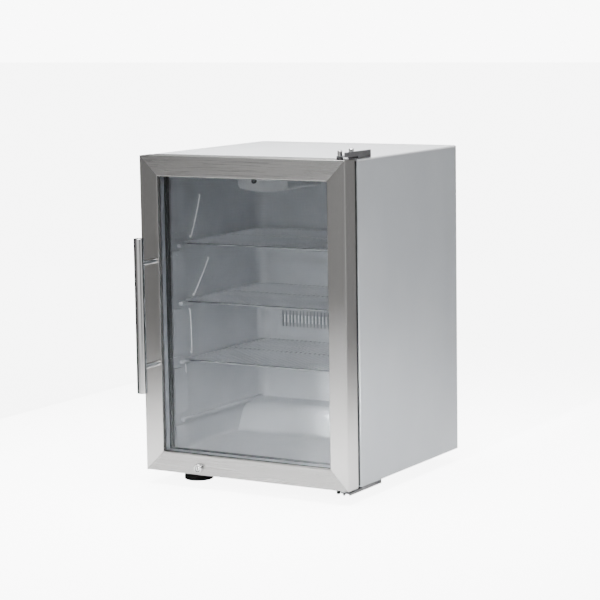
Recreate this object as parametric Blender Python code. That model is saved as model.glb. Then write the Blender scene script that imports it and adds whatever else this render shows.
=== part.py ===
"""Undercounter refrigerator with one framed glass door.

Metres, +Z up, standing on z = 0 with the door facing -Y. The origin is the middle of the
footprint. The door hangs on two pins at its right edge.
"""

import math

import bmesh
import bpy
from mathutils import Matrix, Vector

# Outer sizes
WIDTH = 0.500
HEIGHT = 0.678          # of the door and of the cabinet
FOOT_HEIGHT = 0.030
DOOR_DEPTH = 0.041
DOOR_GAP = 0.0117       # between the door's back and the cabinet
CABINET_DEPTH = 0.4447
HANDLE_REACH = 0.069    # handle's front to the door's face
CLEAR = 0.0003          # between touching pieces

# Planes that follow from them
HALF = WIDTH / 2
DEPTH = HANDLE_REACH + DOOR_DEPTH + DOOR_GAP + CABINET_DEPTH
DOOR_FRONT = -DEPTH / 2 + HANDLE_REACH
DOOR_BACK = DOOR_FRONT + DOOR_DEPTH
CAB_FRONT = DOOR_BACK + DOOR_GAP
CAB_BACK = DEPTH / 2
BASE = FOOT_HEIGHT
TOP = BASE + HEIGHT

# Cabinet
SHEET = 0.001
LIP = 0.0025            # folded edge of the skin
WALL = 0.040            # skin to liner at the sides
LINER = 0.002
INNER_X = HALF - WALL
INNER_FLOOR = BASE + 0.035
INNER_CEILING = BASE + 0.640
INNER_BACK = DOOR_FRONT + 0.415
CORNER = 0.025          # rounding of the liner's rear corners
HUMP_FOOT = DOOR_FRONT + 0.305
HUMP_TOP = BASE + 0.097
HUMP_PROFILE = [(0.0, 0.0), (0.018, 0.034), (0.026, 0.048), (0.036, 0.057), (0.050, 0.062)]
BAY_FRONT = HUMP_FOOT + 0.035
BAY_TOP = BASE + 0.070

# Shelves
SHELF_HEIGHTS = [BASE + 0.231, BASE + 0.359, BASE + 0.485]
LEDGE_HEIGHTS = [BASE + 0.105] + SHELF_HEIGHTS
LEDGE = 0.009
SHELF_FRONT = DOOR_FRONT + 0.080
SHELF_BACK = DOOR_FRONT + 0.405
SHELF_X = INNER_X - 0.0025
FRAME_WIRE = 0.0025
SHELF_WIRE = 0.0014
SHELF_WIRES = 17

# Feet: middle of each pad
FEET = {
    "foot_front_left": (-HALF + 0.075, DOOR_FRONT + 0.090),
    "foot_front_right": (HALF - 0.080, DOOR_FRONT + 0.140),
    "foot_rear_left": (-HALF + 0.110, DOOR_FRONT + 0.460),
    "foot_rear_right": (HALF - 0.110, DOOR_FRONT + 0.460),
}

# Lamp and thermostat housing
LAMP_WIDTH = 0.1235
LAMP_X = -0.0052
LAMP_FRONT = DOOR_FRONT + 0.100
LAMP_BACK = LAMP_FRONT + 0.145
LAMP_CORNER = 0.012
DIAL_X = -0.0253
DIAL_Z = BASE + 0.622

# Door
RAIL = 0.043
REBATE = 0.0325         # from the door's edge to where the glass unit starts
PANE = 0.004
GLASS_FRONT = DOOR_FRONT + 0.0090
HINGE_X = HALF - 0.0175
HINGE_Y = DOOR_FRONT + 0.012
HINGE_NOSE = 0.0075     # bracket's round end about the pin
SCREW_X = HALF - 0.0185
SCREW_Y = DOOR_FRONT + 0.0605
HANDLE_X = -HALF + 0.034
HANDLE_Y = DOOR_FRONT - 0.058
HANDLE_RADIUS = 0.011
HANDLE_LOW = BASE + 0.178
HANDLE_HIGH = BASE + 0.508
LOCK_X = -HALF + 0.1355
LOCK_Z = BASE + 0.0150

# Air duct behind the slotted cover
DUCT_X = 0.160
DUCT_LOW = BASE + 0.246
DUCT_HIGH = BASE + 0.344
DUCT_BACK = DOOR_FRONT + 0.457
RISER_Y = DUCT_BACK - 0.008
FAN_Z = (DUCT_LOW + DUCT_HIGH) / 2
VENTS = 34

# Pipes and inlet
DRAIN_X = 0.020
SUCTION_X = -0.010
LIQUID_X = -0.028
INLET_X = 0.190
INLET_Z = BASE + 0.052

# Looks: colour, roughness, metallic
STEEL = ((0.62, 0.62, 0.61), 0.34, 1.0)
CHROME = ((0.80, 0.80, 0.80), 0.12, 1.0)
ZINC = ((0.55, 0.56, 0.57), 0.45, 1.0)
SKIN = ((0.52, 0.55, 0.58), 0.42, 0.35)
TOP_SKIN = ((0.70, 0.71, 0.72), 0.42, 0.25)
BRACKET = ((0.16, 0.16, 0.17), 0.50, 0.60)
COPPER = ((0.72, 0.42, 0.27), 0.35, 1.0)
BLACK_RUBBER = ((0.03, 0.03, 0.03), 0.80, 0.0)
BLACK_PLASTIC = ((0.05, 0.05, 0.05), 0.50, 0.0)
BLACK_PAINT = ((0.04, 0.04, 0.04), 0.40, 0.10)
LINER_GREY = ((0.55, 0.56, 0.57), 0.40, 0.0)
WHITE_PLASTIC = ((0.75, 0.76, 0.76), 0.45, 0.0)
FOAM = ((0.80, 0.72, 0.48), 0.90, 0.0)
GLASS = ((0.75, 0.80, 0.80), 0.05, 0.0)
BOARD = ((0.85, 0.85, 0.82), 0.50, 0.0)


def clear_scene():
    for obj in list(bpy.data.objects):
        bpy.data.objects.remove(obj, do_unlink=True)


def give_look(obj, look):
    colour, roughness, metallic = look
    material = bpy.data.materials.new(obj.name)
    material.use_nodes = True
    shader = material.node_tree.nodes["Principled BSDF"]
    shader.inputs["Base Color"].default_value = (*colour, 1.0)
    shader.inputs["Roughness"].default_value = roughness
    shader.inputs["Metallic"].default_value = metallic
    obj.data.materials.clear()
    obj.data.materials.append(material)


def place(name, bm, look=None, origin=(0, 0, 0), smooth=False):
    """An object from a bmesh. Without a look it is a cutter or an operand."""
    bmesh.ops.translate(bm, vec=-Vector(origin), verts=bm.verts)
    bmesh.ops.recalc_face_normals(bm, faces=bm.faces)
    mesh = bpy.data.meshes.new(name)
    bm.to_mesh(mesh)
    bm.free()
    if smooth:
        mesh.shade_smooth()
        mesh.set_sharp_from_angle(angle=math.radians(35))
    obj = bpy.data.objects.new(name, mesh)
    obj.location = origin
    bpy.context.scene.collection.objects.link(obj)
    if look is None:
        obj.hide_render = True
        obj.display_type = "WIRE"
    else:
        give_look(obj, look)
    return obj


def boolean(obj, other, operation="DIFFERENCE"):
    modifier = obj.modifiers.new(operation.title(), "BOOLEAN")
    modifier.object = other
    modifier.operation = operation


def bevel(obj, width, segments=2):
    modifier = obj.modifiers.new("Bevel", "BEVEL")
    modifier.width = width
    modifier.segments = segments
    modifier.limit_method = "ANGLE"
    modifier.angle_limit = math.radians(40)


def add_box(bm, lo, hi):
    lo = Vector(lo)
    hi = Vector(hi)
    verts = bmesh.ops.create_cube(bm, size=1.0)["verts"]
    bmesh.ops.scale(bm, vec=hi - lo, verts=verts)
    bmesh.ops.translate(bm, vec=(lo + hi) / 2, verts=verts)


def add_rod(bm, start, end, radius, sides=20):
    start = Vector(start)
    end = Vector(end)
    turn = (end - start).to_track_quat("Z", "Y").to_matrix().to_4x4()
    bmesh.ops.create_cone(
        bm,
        cap_ends=True,
        segments=sides,
        radius1=radius,
        radius2=radius,
        depth=(end - start).length,
        matrix=Matrix.Translation((start + end) / 2) @ turn,
    )


def add_prism(bm, outline, low, high, axis):
    """Extrudes an outline along an axis. Its points are in the two other axes, in X, Y, Z order."""
    order = {"X": (2, 0, 1), "Y": (0, 2, 1), "Z": (0, 1, 2)}[axis]

    def corner(a, b, along):
        point = (a, b, along)
        return [point[i] for i in order]

    face = bm.faces.new([bm.verts.new(corner(a, b, low)) for a, b in outline])
    made = bmesh.ops.extrude_face_region(bm, geom=[face])["geom"]
    verts = [item for item in made if isinstance(item, bmesh.types.BMVert)]
    shift = Vector(corner(0, 0, high)) - Vector(corner(0, 0, low))
    bmesh.ops.translate(bm, vec=shift, verts=verts)


def add_turned(bm, profile, centre, axis, sides=24, ring=False):
    """Spins a profile of (radius, height along the axis). A ring's profile closes on itself."""
    axis = Vector(axis)
    centre = Vector(centre)
    side = axis.orthogonal().normalized()
    verts = [bm.verts.new(centre + side * r + axis * h) for r, h in profile]
    edges = [bm.edges.new(pair) for pair in zip(verts, verts[1:])]
    if ring:
        edges.append(bm.edges.new((verts[-1], verts[0])))
    bmesh.ops.spin(
        bm, geom=verts + edges, cent=centre, axis=axis, angle=math.tau, steps=sides, use_merge=True
    )
    bmesh.ops.remove_doubles(bm, verts=bm.verts, dist=1e-6)


def arc(centre_a, centre_b, radius, start, end, steps):
    """Points of an arc in a plane, angles in degrees."""
    points = []
    for i in range(steps + 1):
        angle = math.radians(start + (end - start) * i / steps)
        points.append((centre_a + radius * math.cos(angle), centre_b + radius * math.sin(angle)))
    return points


def rounded_path(corners, bend, steps=4, closed=False):
    """A path through the corners, with each turn replaced by a quadratic bend."""
    points = [Vector(p) for p in corners]
    count = len(points)
    path = []
    for i, point in enumerate(points):
        if not closed and i in (0, count - 1):
            path.append(point)
            continue
        before = (points[i - 1] - point).normalized() * bend
        after = (points[(i + 1) % count] - point).normalized() * bend
        for k in range(steps + 1):
            t = k / steps
            path.append(point + before * (1 - t) ** 2 + after * t ** 2)
    return path


def tube_curve(name, paths, radius, closed=False, sides_step=1):
    """A curve with a round bevel and filled caps along each path."""
    curve = bpy.data.curves.new(name, "CURVE")
    curve.dimensions = "3D"
    curve.bevel_depth = radius
    curve.bevel_resolution = sides_step
    curve.use_fill_caps = True
    for path in paths:
        spline = curve.splines.new("POLY")
        spline.points.add(len(path) - 1)
        for item, point in zip(spline.points, path):
            item.co = (*point, 1.0)
        spline.use_cyclic_u = closed
    obj = bpy.data.objects.new(name, curve)
    bpy.context.scene.collection.objects.link(obj)
    return obj


def tube_mesh(name, paths, radius, look=None, closed=False, sides_step=1):
    """The same as a mesh object, for Booleans."""
    curve = tube_curve(name + "_path", paths, radius, closed, sides_step)
    bm = bmesh.new()
    bm.from_mesh(bpy.data.meshes.new_from_object(curve))
    bpy.data.objects.remove(curve, do_unlink=True)
    bmesh.ops.remove_doubles(bm, verts=bm.verts, dist=1e-6)
    return place(name, bm, look, smooth=True)


def box_object(name, lo, hi, look, rounding=0.0):
    bm = bmesh.new()
    add_box(bm, lo, hi)
    obj = place(name, bm, look)
    if rounding:
        bevel(obj, rounding)
    return obj


def box_cutter(name, lo, hi):
    return box_object(name, lo, hi, None)


def rod_object(name, start, end, radius, look, sides=20, rounding=0.0):
    bm = bmesh.new()
    add_rod(bm, start, end, radius, sides)
    obj = place(name, bm, look, smooth=True)
    if rounding:
        bevel(obj, rounding)
    return obj


def ring_object(name, outer, inner, front, back, look, rounding=0.0):
    """A flat rectangular ring in the XZ plane. outer and inner are (x_low, x_high, z_low, z_high)."""
    ring = box_object(name, (outer[0], front, outer[2]), (outer[1], back, outer[3]), look)
    hole = box_cutter(
        name + "_hole", (inner[0], front - 0.01, inner[2]), (inner[1], back + 0.01, inner[3])
    )
    boolean(ring, hole)
    if rounding:
        bevel(ring, rounding, 1)
    return ring


def door_ring(inset):
    """The rectangle at this distance inside the door's edge."""
    return (-HALF + inset, HALF - inset, BASE + inset, TOP - inset)


# Cabinet


def build_side_panel(name, side):
    """A side sheet with its edges folded in at the front and the back."""
    outline = [
        (HALF, CAB_FRONT),
        (HALF, CAB_BACK),
        (HALF - SHEET, CAB_BACK),
        (HALF - SHEET, CAB_FRONT + SHEET),
        (HALF - LIP, CAB_FRONT + SHEET),
        (HALF - LIP, CAB_FRONT),
    ]
    bm = bmesh.new()
    add_prism(bm, [(side * x, y) for x, y in outline], BASE, TOP - SHEET - CLEAR, "Z")
    return place(name, bm, SKIN)


def build_top_panel():
    panel = box_object("top_panel", (-HALF, CAB_FRONT, TOP - SHEET), (HALF, CAB_BACK, TOP), TOP_SKIN)
    inside = HALF - LIP - CLEAR
    lip = box_cutter(
        "top_lip", (-inside, CAB_FRONT, TOP - LIP), (inside, CAB_FRONT + SHEET, TOP - SHEET / 2)
    )
    boolean(panel, lip, "UNION")
    boolean(panel, screw_hole("panel_screw_hole"))


def screw_hole(name):
    """Where the hinge's screw goes down through the top."""
    low = (SCREW_X, SCREW_Y, TOP - 0.017)
    return rod_object(name, low, (SCREW_X, SCREW_Y, TOP + 0.01), 0.0033, None, 16)


def build_base_pan():
    inside = HALF - SHEET - CLEAR
    pan = box_object(
        "base_pan",
        (-inside, CAB_FRONT + SHEET + CLEAR, BASE),
        (inside, CAB_BACK - SHEET - CLEAR, BASE + SHEET),
        ZINC,
    )
    front = HALF - LIP - CLEAR
    lip = box_cutter(
        "pan_lip", (-front, CAB_FRONT, BASE), (front, CAB_FRONT + 2 * SHEET, BASE + LIP)
    )
    boolean(pan, lip, "UNION")
    for x, y in FEET.values():
        hole = rod_object("pan_hole", (x, y, BASE - 0.01), (x, y, BASE + 0.01), 0.0056, None, 12)
        boolean(pan, hole)


def inner_outline(grow):
    """Plan of the storage space, open at the front, grown by this much."""
    x = INNER_X + grow
    back = INNER_BACK + grow
    front = CAB_FRONT - 0.02 + grow
    radius = CORNER + grow
    right = arc(x - radius, back - radius, radius, 0, 90, 5)
    left = arc(-x + radius, back - radius, radius, 90, 180, 5)
    return [(x, front)] + right + left + [(-x, front)]


def storage_solid(name, grow):
    """The storage space and its air duct as one solid. With grow it is the liner's outside."""
    bm = bmesh.new()
    add_prism(bm, inner_outline(grow), INNER_FLOOR - grow, INNER_CEILING + grow, "Z")
    space = place(name, bm)
    bm = bmesh.new()
    hump = [(HUMP_FOOT + grow, INNER_FLOOR - 0.02)]
    hump += [(HUMP_FOOT + grow + y, INNER_FLOOR - grow + z) for y, z in HUMP_PROFILE]
    hump += [(INNER_BACK + 0.02, HUMP_TOP - grow), (INNER_BACK + 0.02, INNER_FLOOR - 0.02)]
    add_prism(bm, hump, -HALF, HALF, "X")
    boolean(space, place(name + "_hump", bm))
    duct = box_cutter(
        name + "_duct",
        (-DUCT_X - grow, INNER_BACK - 0.01, DUCT_LOW - grow),
        (DUCT_X + grow, DUCT_BACK + grow, DUCT_HIGH + grow),
    )
    boolean(space, duct, "UNION")
    return space


def riser_holes(obj, radius_by_x, low, high):
    for x, radius in radius_by_x:
        hole = rod_object(obj.name + "_riser", (x, RISER_Y, low), (x, RISER_Y, high), radius, None, 12)
        boolean(obj, hole)


def build_foam():
    inside = HALF - SHEET - CLEAR
    foam = box_object(
        "insulation_foam",
        (-inside, CAB_FRONT + 0.0035, BASE + SHEET + CLEAR),
        (inside, CAB_BACK - SHEET - CLEAR, TOP - SHEET - CLEAR),
        FOAM,
    )
    boolean(foam, storage_solid("foam_space", LINER + CLEAR))
    bay = box_cutter(
        "bay_space", (-HALF, BAY_FRONT, BASE - 0.01), (HALF, CAB_BACK + 0.01, BAY_TOP)
    )
    boolean(foam, bay)
    boolean(foam, screw_hole("foam_screw_hole"))
    risers = [(DRAIN_X, 0.0053), (SUCTION_X, 0.0038), (LIQUID_X, 0.0028)]
    riser_holes(foam, risers, BAY_TOP - 0.01, DUCT_LOW)
    for x, y in list(FEET.values())[:2]:
        pocket = rod_object(
            "foot_pocket", (x, y, BASE - 0.01), (x, y, BASE + 0.016), 0.009, None, 12
        )
        boolean(foam, pocket)


def build_liner():
    """Moulded inner shell with shelf ledges on both walls and the raised hump at its back."""
    liner = storage_solid("inner_liner", LINER)
    liner.hide_render = False
    liner.display_type = "SOLID"
    give_look(liner, LINER_GREY)
    trim = box_cutter("liner_trim", (-HALF, CAB_FRONT - 0.05, BASE), (HALF, CAB_FRONT + 0.0002, TOP))
    boolean(liner, trim)
    space = storage_solid("liner_space", 0.0)
    for height in LEDGE_HEIGHTS:
        for side in (-1, 1):
            top = height - FRAME_WIRE - CLEAR
            x = sorted((side * (INNER_X - LEDGE), side * (INNER_X + 0.01)))
            ledge = box_cutter(
                "ledge", (x[0], SHELF_FRONT - 0.002, top - 0.008), (x[1], INNER_BACK - 0.012, top)
            )
            boolean(space, ledge)
    boolean(liner, space)
    risers = [(DRAIN_X, 0.0035), (SUCTION_X, 0.0038), (LIQUID_X, 0.0028)]
    riser_holes(liner, risers, DUCT_LOW - 0.02, DUCT_LOW + 0.01)
    lead_y = DOOR_FRONT + 0.180
    lead = rod_object(
        "lead_hole", (0, lead_y, INNER_CEILING - 0.01), (0, lead_y, INNER_CEILING + 0.01), 0.004, None, 12
    )
    boolean(liner, lead)


def build_breaker_frame():
    """Plastic strip round the opening that the gasket closes on."""
    edge = LIP + CLEAR
    step = LINER + CLEAR
    ring_object(
        "breaker_frame",
        (-HALF + edge, HALF - edge, BASE + edge, TOP - edge),
        (-INNER_X - step, INNER_X + step, INNER_FLOOR - step, INNER_CEILING + step),
        CAB_FRONT,
        CAB_FRONT + 0.003,
        BLACK_PLASTIC,
    )


def build_back():
    inside = HALF - SHEET - CLEAR
    box_object(
        "back_panel",
        (-inside, CAB_BACK - SHEET, BAY_TOP + 0.002),
        (inside, CAB_BACK, TOP - SHEET - CLEAR),
        ZINC,
    )
    cover = box_object(
        "machine_cover",
        (-inside, CAB_BACK - SHEET, BASE + CLEAR),
        (inside, CAB_BACK, BAY_TOP + 0.0015),
        ZINC,
    )
    slots = bmesh.new()
    for row in range(5):
        z = BASE + 0.014 + row * 0.011
        for x in (-0.175, -0.065, 0.055):
            add_box(slots, (x, CAB_BACK - 0.01, z), (x + 0.090, CAB_BACK + 0.01, z + 0.004))
    boolean(cover, place("cover_slots", slots))
    window = box_cutter(
        "inlet_window",
        (INLET_X - 0.0143, CAB_BACK - 0.01, INLET_Z - 0.0103),
        (INLET_X + 0.0143, CAB_BACK + 0.01, INLET_Z + 0.0103),
    )
    boolean(cover, window)


def build_feet():
    for name, (x, y) in FEET.items():
        bm = bmesh.new()
        profile = [
            (0.0, 0.0),
            (0.0300, 0.0),
            (0.0315, 0.0020),
            (0.0315, 0.0090),
            (0.0290, 0.0125),
            (0.0100, 0.0150),
            (0.0080, 0.0240),
            (0.0052, 0.0245),
            (0.0052, BASE + 0.010),
            (0.0, BASE + 0.010),
        ]
        add_turned(bm, profile, (x, y, 0), (0, 0, 1), 24)
        place(name, bm, BLACK_PLASTIC, (x, y, 0), smooth=True)


def build_shelves():
    for number, z in enumerate(SHELF_HEIGHTS, 1):
        corners = [
            (-SHELF_X + FRAME_WIRE, SHELF_FRONT, z),
            (SHELF_X - FRAME_WIRE, SHELF_FRONT, z),
            (SHELF_X - FRAME_WIRE, SHELF_BACK, z),
            (-SHELF_X + FRAME_WIRE, SHELF_BACK, z),
        ]
        loop = rounded_path(corners, 0.022, 3, closed=True)
        shelf = tube_mesh(f"wire_shelf_{number}", [loop], FRAME_WIRE, CHROME, closed=True)
        lift = z + FRAME_WIRE
        paths = []
        pitch = 2 * (SHELF_X - 0.028) / (SHELF_WIRES - 1)
        for i in range(SHELF_WIRES):
            x = -SHELF_X + 0.028 + i * pitch
            paths.append([(x, SHELF_FRONT, lift), (x, SHELF_BACK, lift)])
        wires = tube_mesh(f"shelf_wires_{number}", paths, SHELF_WIRE, sides_step=0)
        boolean(shelf, wires, "UNION")
        brace = [(-SHELF_X + FRAME_WIRE, 0.045, z), (SHELF_X - FRAME_WIRE, 0.045, z)]
        boolean(shelf, tube_mesh(f"shelf_brace_{number}", [brace], 0.002, sides_step=0), "UNION")


def build_lamp():
    """Lamp and thermostat housing under the ceiling, its belly lowest at the middle."""
    x0 = LAMP_X - LAMP_WIDTH / 2
    x1 = LAMP_X + LAMP_WIDTH / 2
    front = LAMP_FRONT
    back = LAMP_BACK
    corner = LAMP_CORNER
    top = INNER_CEILING - CLEAR
    low = BASE + 0.6035

    def outline(inset):
        """Front view of the housing, this much inside its skin."""
        points = [(x1 - inset, top + inset), (x0 + inset, top + inset)]
        points += arc(x0 + corner, low + corner, corner - inset, 180, 260, 4)
        points += [(LAMP_X, low - 0.004 + inset)]
        points += arc(x1 - corner, low + corner, corner - inset, 280, 360, 4)
        return points

    bm = bmesh.new()
    add_prism(bm, outline(0.0), front, back, "Y")
    housing = place("lamp_housing", bm, WHITE_PLASTIC)
    bevel(housing, 0.0015, 1)
    bm = bmesh.new()
    add_prism(bm, outline(0.002), front + 0.002, back - 0.002, "Y")
    boolean(housing, place("lamp_inside", bm))
    spindle = rod_object(
        "dial_hole", (DIAL_X, front - 0.01, DIAL_Z), (DIAL_X, front + 0.01, DIAL_Z), 0.0033, None, 12
    )
    boolean(housing, spindle)

    bm = bmesh.new()
    add_rod(bm, (DIAL_X, front - 0.0045, DIAL_Z), (DIAL_X, front - CLEAR, DIAL_Z), 0.0055, 20)
    knob = place("thermostat_knob", bm, BLACK_PLASTIC, (DIAL_X, front, DIAL_Z), smooth=True)
    shaft = rod_object(
        "knob_shaft", (DIAL_X, front - 0.002, DIAL_Z), (DIAL_X, front + 0.0095, DIAL_Z), 0.0026, None, 12
    )
    boolean(knob, shaft, "UNION")
    slot = box_cutter(
        "knob_slot",
        (DIAL_X - 0.0040, front - 0.01, DIAL_Z - 0.0008),
        (DIAL_X + 0.0040, front - 0.0030, DIAL_Z + 0.0008),
    )
    boolean(knob, slot)

    box_object(
        "thermostat_body",
        (DIAL_X - 0.015, front + 0.010, DIAL_Z - 0.011),
        (DIAL_X + 0.015, front + 0.050, DIAL_Z + 0.013),
        BLACK_PLASTIC,
        0.001,
    )
    box_object(
        "led_board",
        (LAMP_X + 0.004, front + 0.008, BASE + 0.628),
        (LAMP_X + 0.054, back - 0.015, BASE + 0.6296),
        BOARD,
    )


def build_evaporator():
    """Slotted cover on the back wall, and the cold plate and fan in the duct behind it."""
    cover_front = INNER_BACK - 0.0025
    cover = box_object(
        "evaporator_cover",
        (-DUCT_X - 0.006, cover_front, DUCT_LOW - 0.006),
        (DUCT_X + 0.006, INNER_BACK - CLEAR, DUCT_HIGH + 0.006),
        LINER_GREY,
    )
    slots = bmesh.new()
    for i in range(VENTS):
        x = -0.150 + 0.300 * i / (VENTS - 1)
        add_box(
            slots,
            (x - 0.0025, cover_front - 0.01, BASE + 0.262),
            (x + 0.0025, INNER_BACK + 0.01, BASE + 0.300),
        )
    boolean(cover, place("cover_vents", slots))

    reach = DUCT_X - 0.014
    row = DUCT_LOW + 0.014
    rise = 0.018
    route = [
        (LIQUID_X, DUCT_LOW + 0.0045),
        (LIQUID_X, row),
        (-reach, row),
        (-reach, row + rise),
        (reach, row + rise),
        (reach, row + 2 * rise),
        (-reach, row + 2 * rise),
        (-reach, row + 3 * rise),
        (reach + 0.006, row + 3 * rise),
        (reach + 0.006, row - 0.005),
        (SUCTION_X, row - 0.005),
        (SUCTION_X, DUCT_LOW + 0.0005),
    ]
    corners = [(x, RISER_Y, z) for x, z in route]
    evaporator = tube_mesh("evaporator", [rounded_path(corners, 0.004, 3)], 0.0025, ZINC)
    plate = box_cutter(
        "evaporator_plate",
        (-DUCT_X + 0.004, RISER_Y + 0.0015, DUCT_LOW + 0.006),
        (DUCT_X - 0.004, RISER_Y + 0.0030, DUCT_HIGH - 0.003),
    )
    boolean(evaporator, plate, "UNION")

    motor_y = INNER_BACK + 0.017
    bm = bmesh.new()
    add_rod(bm, (0, motor_y, FAN_Z), (0, motor_y + 0.011, FAN_Z), 0.013, 20)
    motor = place("evaporator_fan_motor", bm, BLACK_PLASTIC, smooth=True)
    arms = box_cutter(
        "fan_arms",
        (-0.003, motor_y + 0.006, DUCT_LOW + CLEAR),
        (0.003, motor_y + 0.009, DUCT_HIGH - CLEAR),
    )
    boolean(motor, arms, "UNION")
    build_fan("evaporator_fan", (0, motor_y - 0.0006, FAN_Z), -1, 0.009, 0.033)


def build_fan(name, back, direction, hub_radius, tip_radius):
    """A hub with five pitched blades in front of the point back, along +Y or -Y."""
    x, y, z = back
    depth = 0.009 * direction
    bm = bmesh.new()
    add_rod(bm, (x, y, z), (x, y + depth, z), hub_radius, 20)
    fan = place(name, bm, BLACK_PLASTIC, back, smooth=True)
    blades = bmesh.new()
    for i in range(5):
        blade = bmesh.new()
        add_box(blade, (hub_radius * 0.6, -0.0007, -0.0055), (tip_radius - 0.001, 0.0007, 0.0055))
        turn = Matrix.Rotation(math.tau * i / 5, 4, "Y") @ Matrix.Rotation(math.radians(55), 4, "X")
        bmesh.ops.transform(
            blade, matrix=Matrix.Translation((x, y + depth / 2, z)) @ turn, verts=blade.verts
        )
        mesh = bpy.data.meshes.new("blade")
        blade.to_mesh(mesh)
        blade.free()
        blades.from_mesh(mesh)
        bpy.data.meshes.remove(mesh)
    boolean(fan, place(name + "_blades", blades), "UNION")


def build_machine_bay():
    floor = BASE + SHEET + CLEAR
    y = DOOR_FRONT + 0.405
    z = BASE + 0.036
    radius = 0.027
    x0 = -0.190
    x1 = -0.050
    bm = bmesh.new()
    profile = [(0.0, 0.0), (0.012, 0.002), (0.021, 0.007), (radius, 0.017)]
    length = x1 - x0
    profile += [(r, length - h) for r, h in reversed(profile)]
    add_turned(bm, profile, (x0, y, z), (1, 0, 0), 24)
    place("compressor", bm, BLACK_PAINT, smooth=True)

    cradle = box_object(
        "compressor_cradle",
        (x0 + 0.015, y - 0.030, floor),
        (x1 - 0.015, y + 0.030, floor + 0.003),
        ZINC,
    )
    saddles = bmesh.new()
    for x in (x0 + 0.030, x1 - 0.036):
        add_box(saddles, (x, y - 0.026, floor + 0.001), (x + 0.006, y + 0.026, z - 0.008))
    boolean(cradle, place("saddles", saddles), "UNION")
    bed = rod_object("saddle_bed", (x0, y, z), (x1, y, z), radius + CLEAR, None, 24)
    boolean(cradle, bed)
    box_object(
        "relay_box", (x0 - 0.026, y - 0.016, z - 0.016), (x0 - 0.001, y + 0.016, z + 0.016),
        BLACK_PLASTIC, 0.002,
    )

    block_x0 = 0.085
    block_x1 = 0.195
    block_y0 = BAY_FRONT + 0.006
    block_y1 = block_y0 + 0.022
    condenser = box_object(
        "condenser",
        (block_x0, block_y0, floor + 0.004),
        (block_x1, block_y1, BAY_TOP - 0.004),
        BLACK_PAINT,
    )
    gaps = bmesh.new()
    for i in range(16):
        x = block_x0 + 0.006 + i * 0.0065
        add_box(
            gaps,
            (x, block_y0 - 0.01, floor + 0.010),
            (x + 0.004, block_y1 - 0.004, BAY_TOP - 0.010),
        )
    boolean(condenser, place("condenser_gaps", gaps))

    fan_x = (block_x0 + block_x1) / 2
    fan_z = BASE + 0.0355
    shroud = box_cutter(
        "fan_shroud",
        (block_x0, block_y1 - 0.001, floor + 0.001),
        (block_x1, block_y1 + 0.0025, BAY_TOP - 0.002),
    )
    mouth = rod_object(
        "shroud_mouth",
        (fan_x, block_y1 - 0.002, fan_z),
        (fan_x, block_y1 + 0.01, fan_z),
        0.029,
        None,
        24,
    )
    boolean(condenser, shroud, "UNION")
    boolean(condenser, mouth)
    build_fan("condenser_fan", (fan_x, block_y1 + 0.0150, fan_z), -1, 0.010, 0.0275)
    motor_y = block_y1 + 0.0156
    motor = rod_object(
        "condenser_fan_motor",
        (fan_x, motor_y, fan_z),
        (fan_x, motor_y + 0.022, fan_z),
        0.015,
        BLACK_PAINT,
    )
    stand = box_cutter(
        "motor_stand",
        (fan_x - 0.008, motor_y + 0.005, floor),
        (fan_x + 0.008, motor_y + 0.017, fan_z),
    )
    boolean(motor, stand, "UNION")

    end = x1 + 0.0004
    block_y = BAY_FRONT + 0.017
    drier_x = 0.068
    drier_z = BASE + 0.050
    drier_back = BAY_FRONT + 0.070
    duct_foot = DUCT_LOW + 0.0002
    pipes = {
        "discharge_pipe": (
            0.0025,
            [
                (end, y, z + 0.010),
                (-0.035, y, z + 0.010),
                (-0.035, block_y, z + 0.010),
                (-0.035, block_y, z - 0.014),
                (block_x0 - CLEAR, block_y, z - 0.014),
            ],
        ),
        "suction_pipe": (
            0.0032,
            [
                (end, y, z - 0.008),
                (SUCTION_X, y, z - 0.008),
                (SUCTION_X, RISER_Y, z - 0.008),
                (SUCTION_X, RISER_Y, duct_foot),
            ],
        ),
        "liquid_line": (
            0.0022,
            [
                (drier_x, drier_back - 0.002, drier_z),
                (drier_x, RISER_Y - 0.014, drier_z),
                (LIQUID_X, RISER_Y - 0.014, drier_z),
                (LIQUID_X, RISER_Y, drier_z),
                (LIQUID_X, RISER_Y, duct_foot + 0.004),
            ],
        ),
    }
    made = {}
    for name, (pipe_radius, corners) in pipes.items():
        made[name] = tube_mesh(name, [rounded_path(corners, 0.006, 4)], pipe_radius, COPPER)
    bm = bmesh.new()
    profile = [(0.0, 0.0), (0.004, 0.001), (0.008, 0.010), (0.008, 0.050), (0.004, 0.059), (0.0, 0.060)]
    add_turned(bm, profile, (drier_x, drier_back - 0.060, drier_z), (0, 1, 0), 16)
    boolean(made["liquid_line"], place("drier", bm), "UNION")

    bm = bmesh.new()
    foot = BASE + 0.024
    length = DUCT_LOW - LINER - 2 * CLEAR - foot
    tube = [(0.0032, 0.0), (0.0050, 0.0), (0.0050, length), (0.0032, length)]
    add_turned(bm, tube, (DRAIN_X, RISER_Y, foot), (0, 0, 1), 12, ring=True)
    place("drain_tube", bm, BLACK_RUBBER, smooth=True)

    tray_lo = (DRAIN_X - 0.030, RISER_Y - 0.016, floor)
    tray_hi = (DRAIN_X + 0.030, RISER_Y + 0.016, floor + 0.016)
    tray = box_object("evaporation_tray", tray_lo, tray_hi, WHITE_PLASTIC)
    hollow = box_cutter(
        "tray_hollow",
        (tray_lo[0] + 0.002, tray_lo[1] + 0.002, floor + 0.002),
        (tray_hi[0] - 0.002, tray_hi[1] - 0.002, floor + 0.020),
    )
    boolean(tray, hollow)

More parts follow.
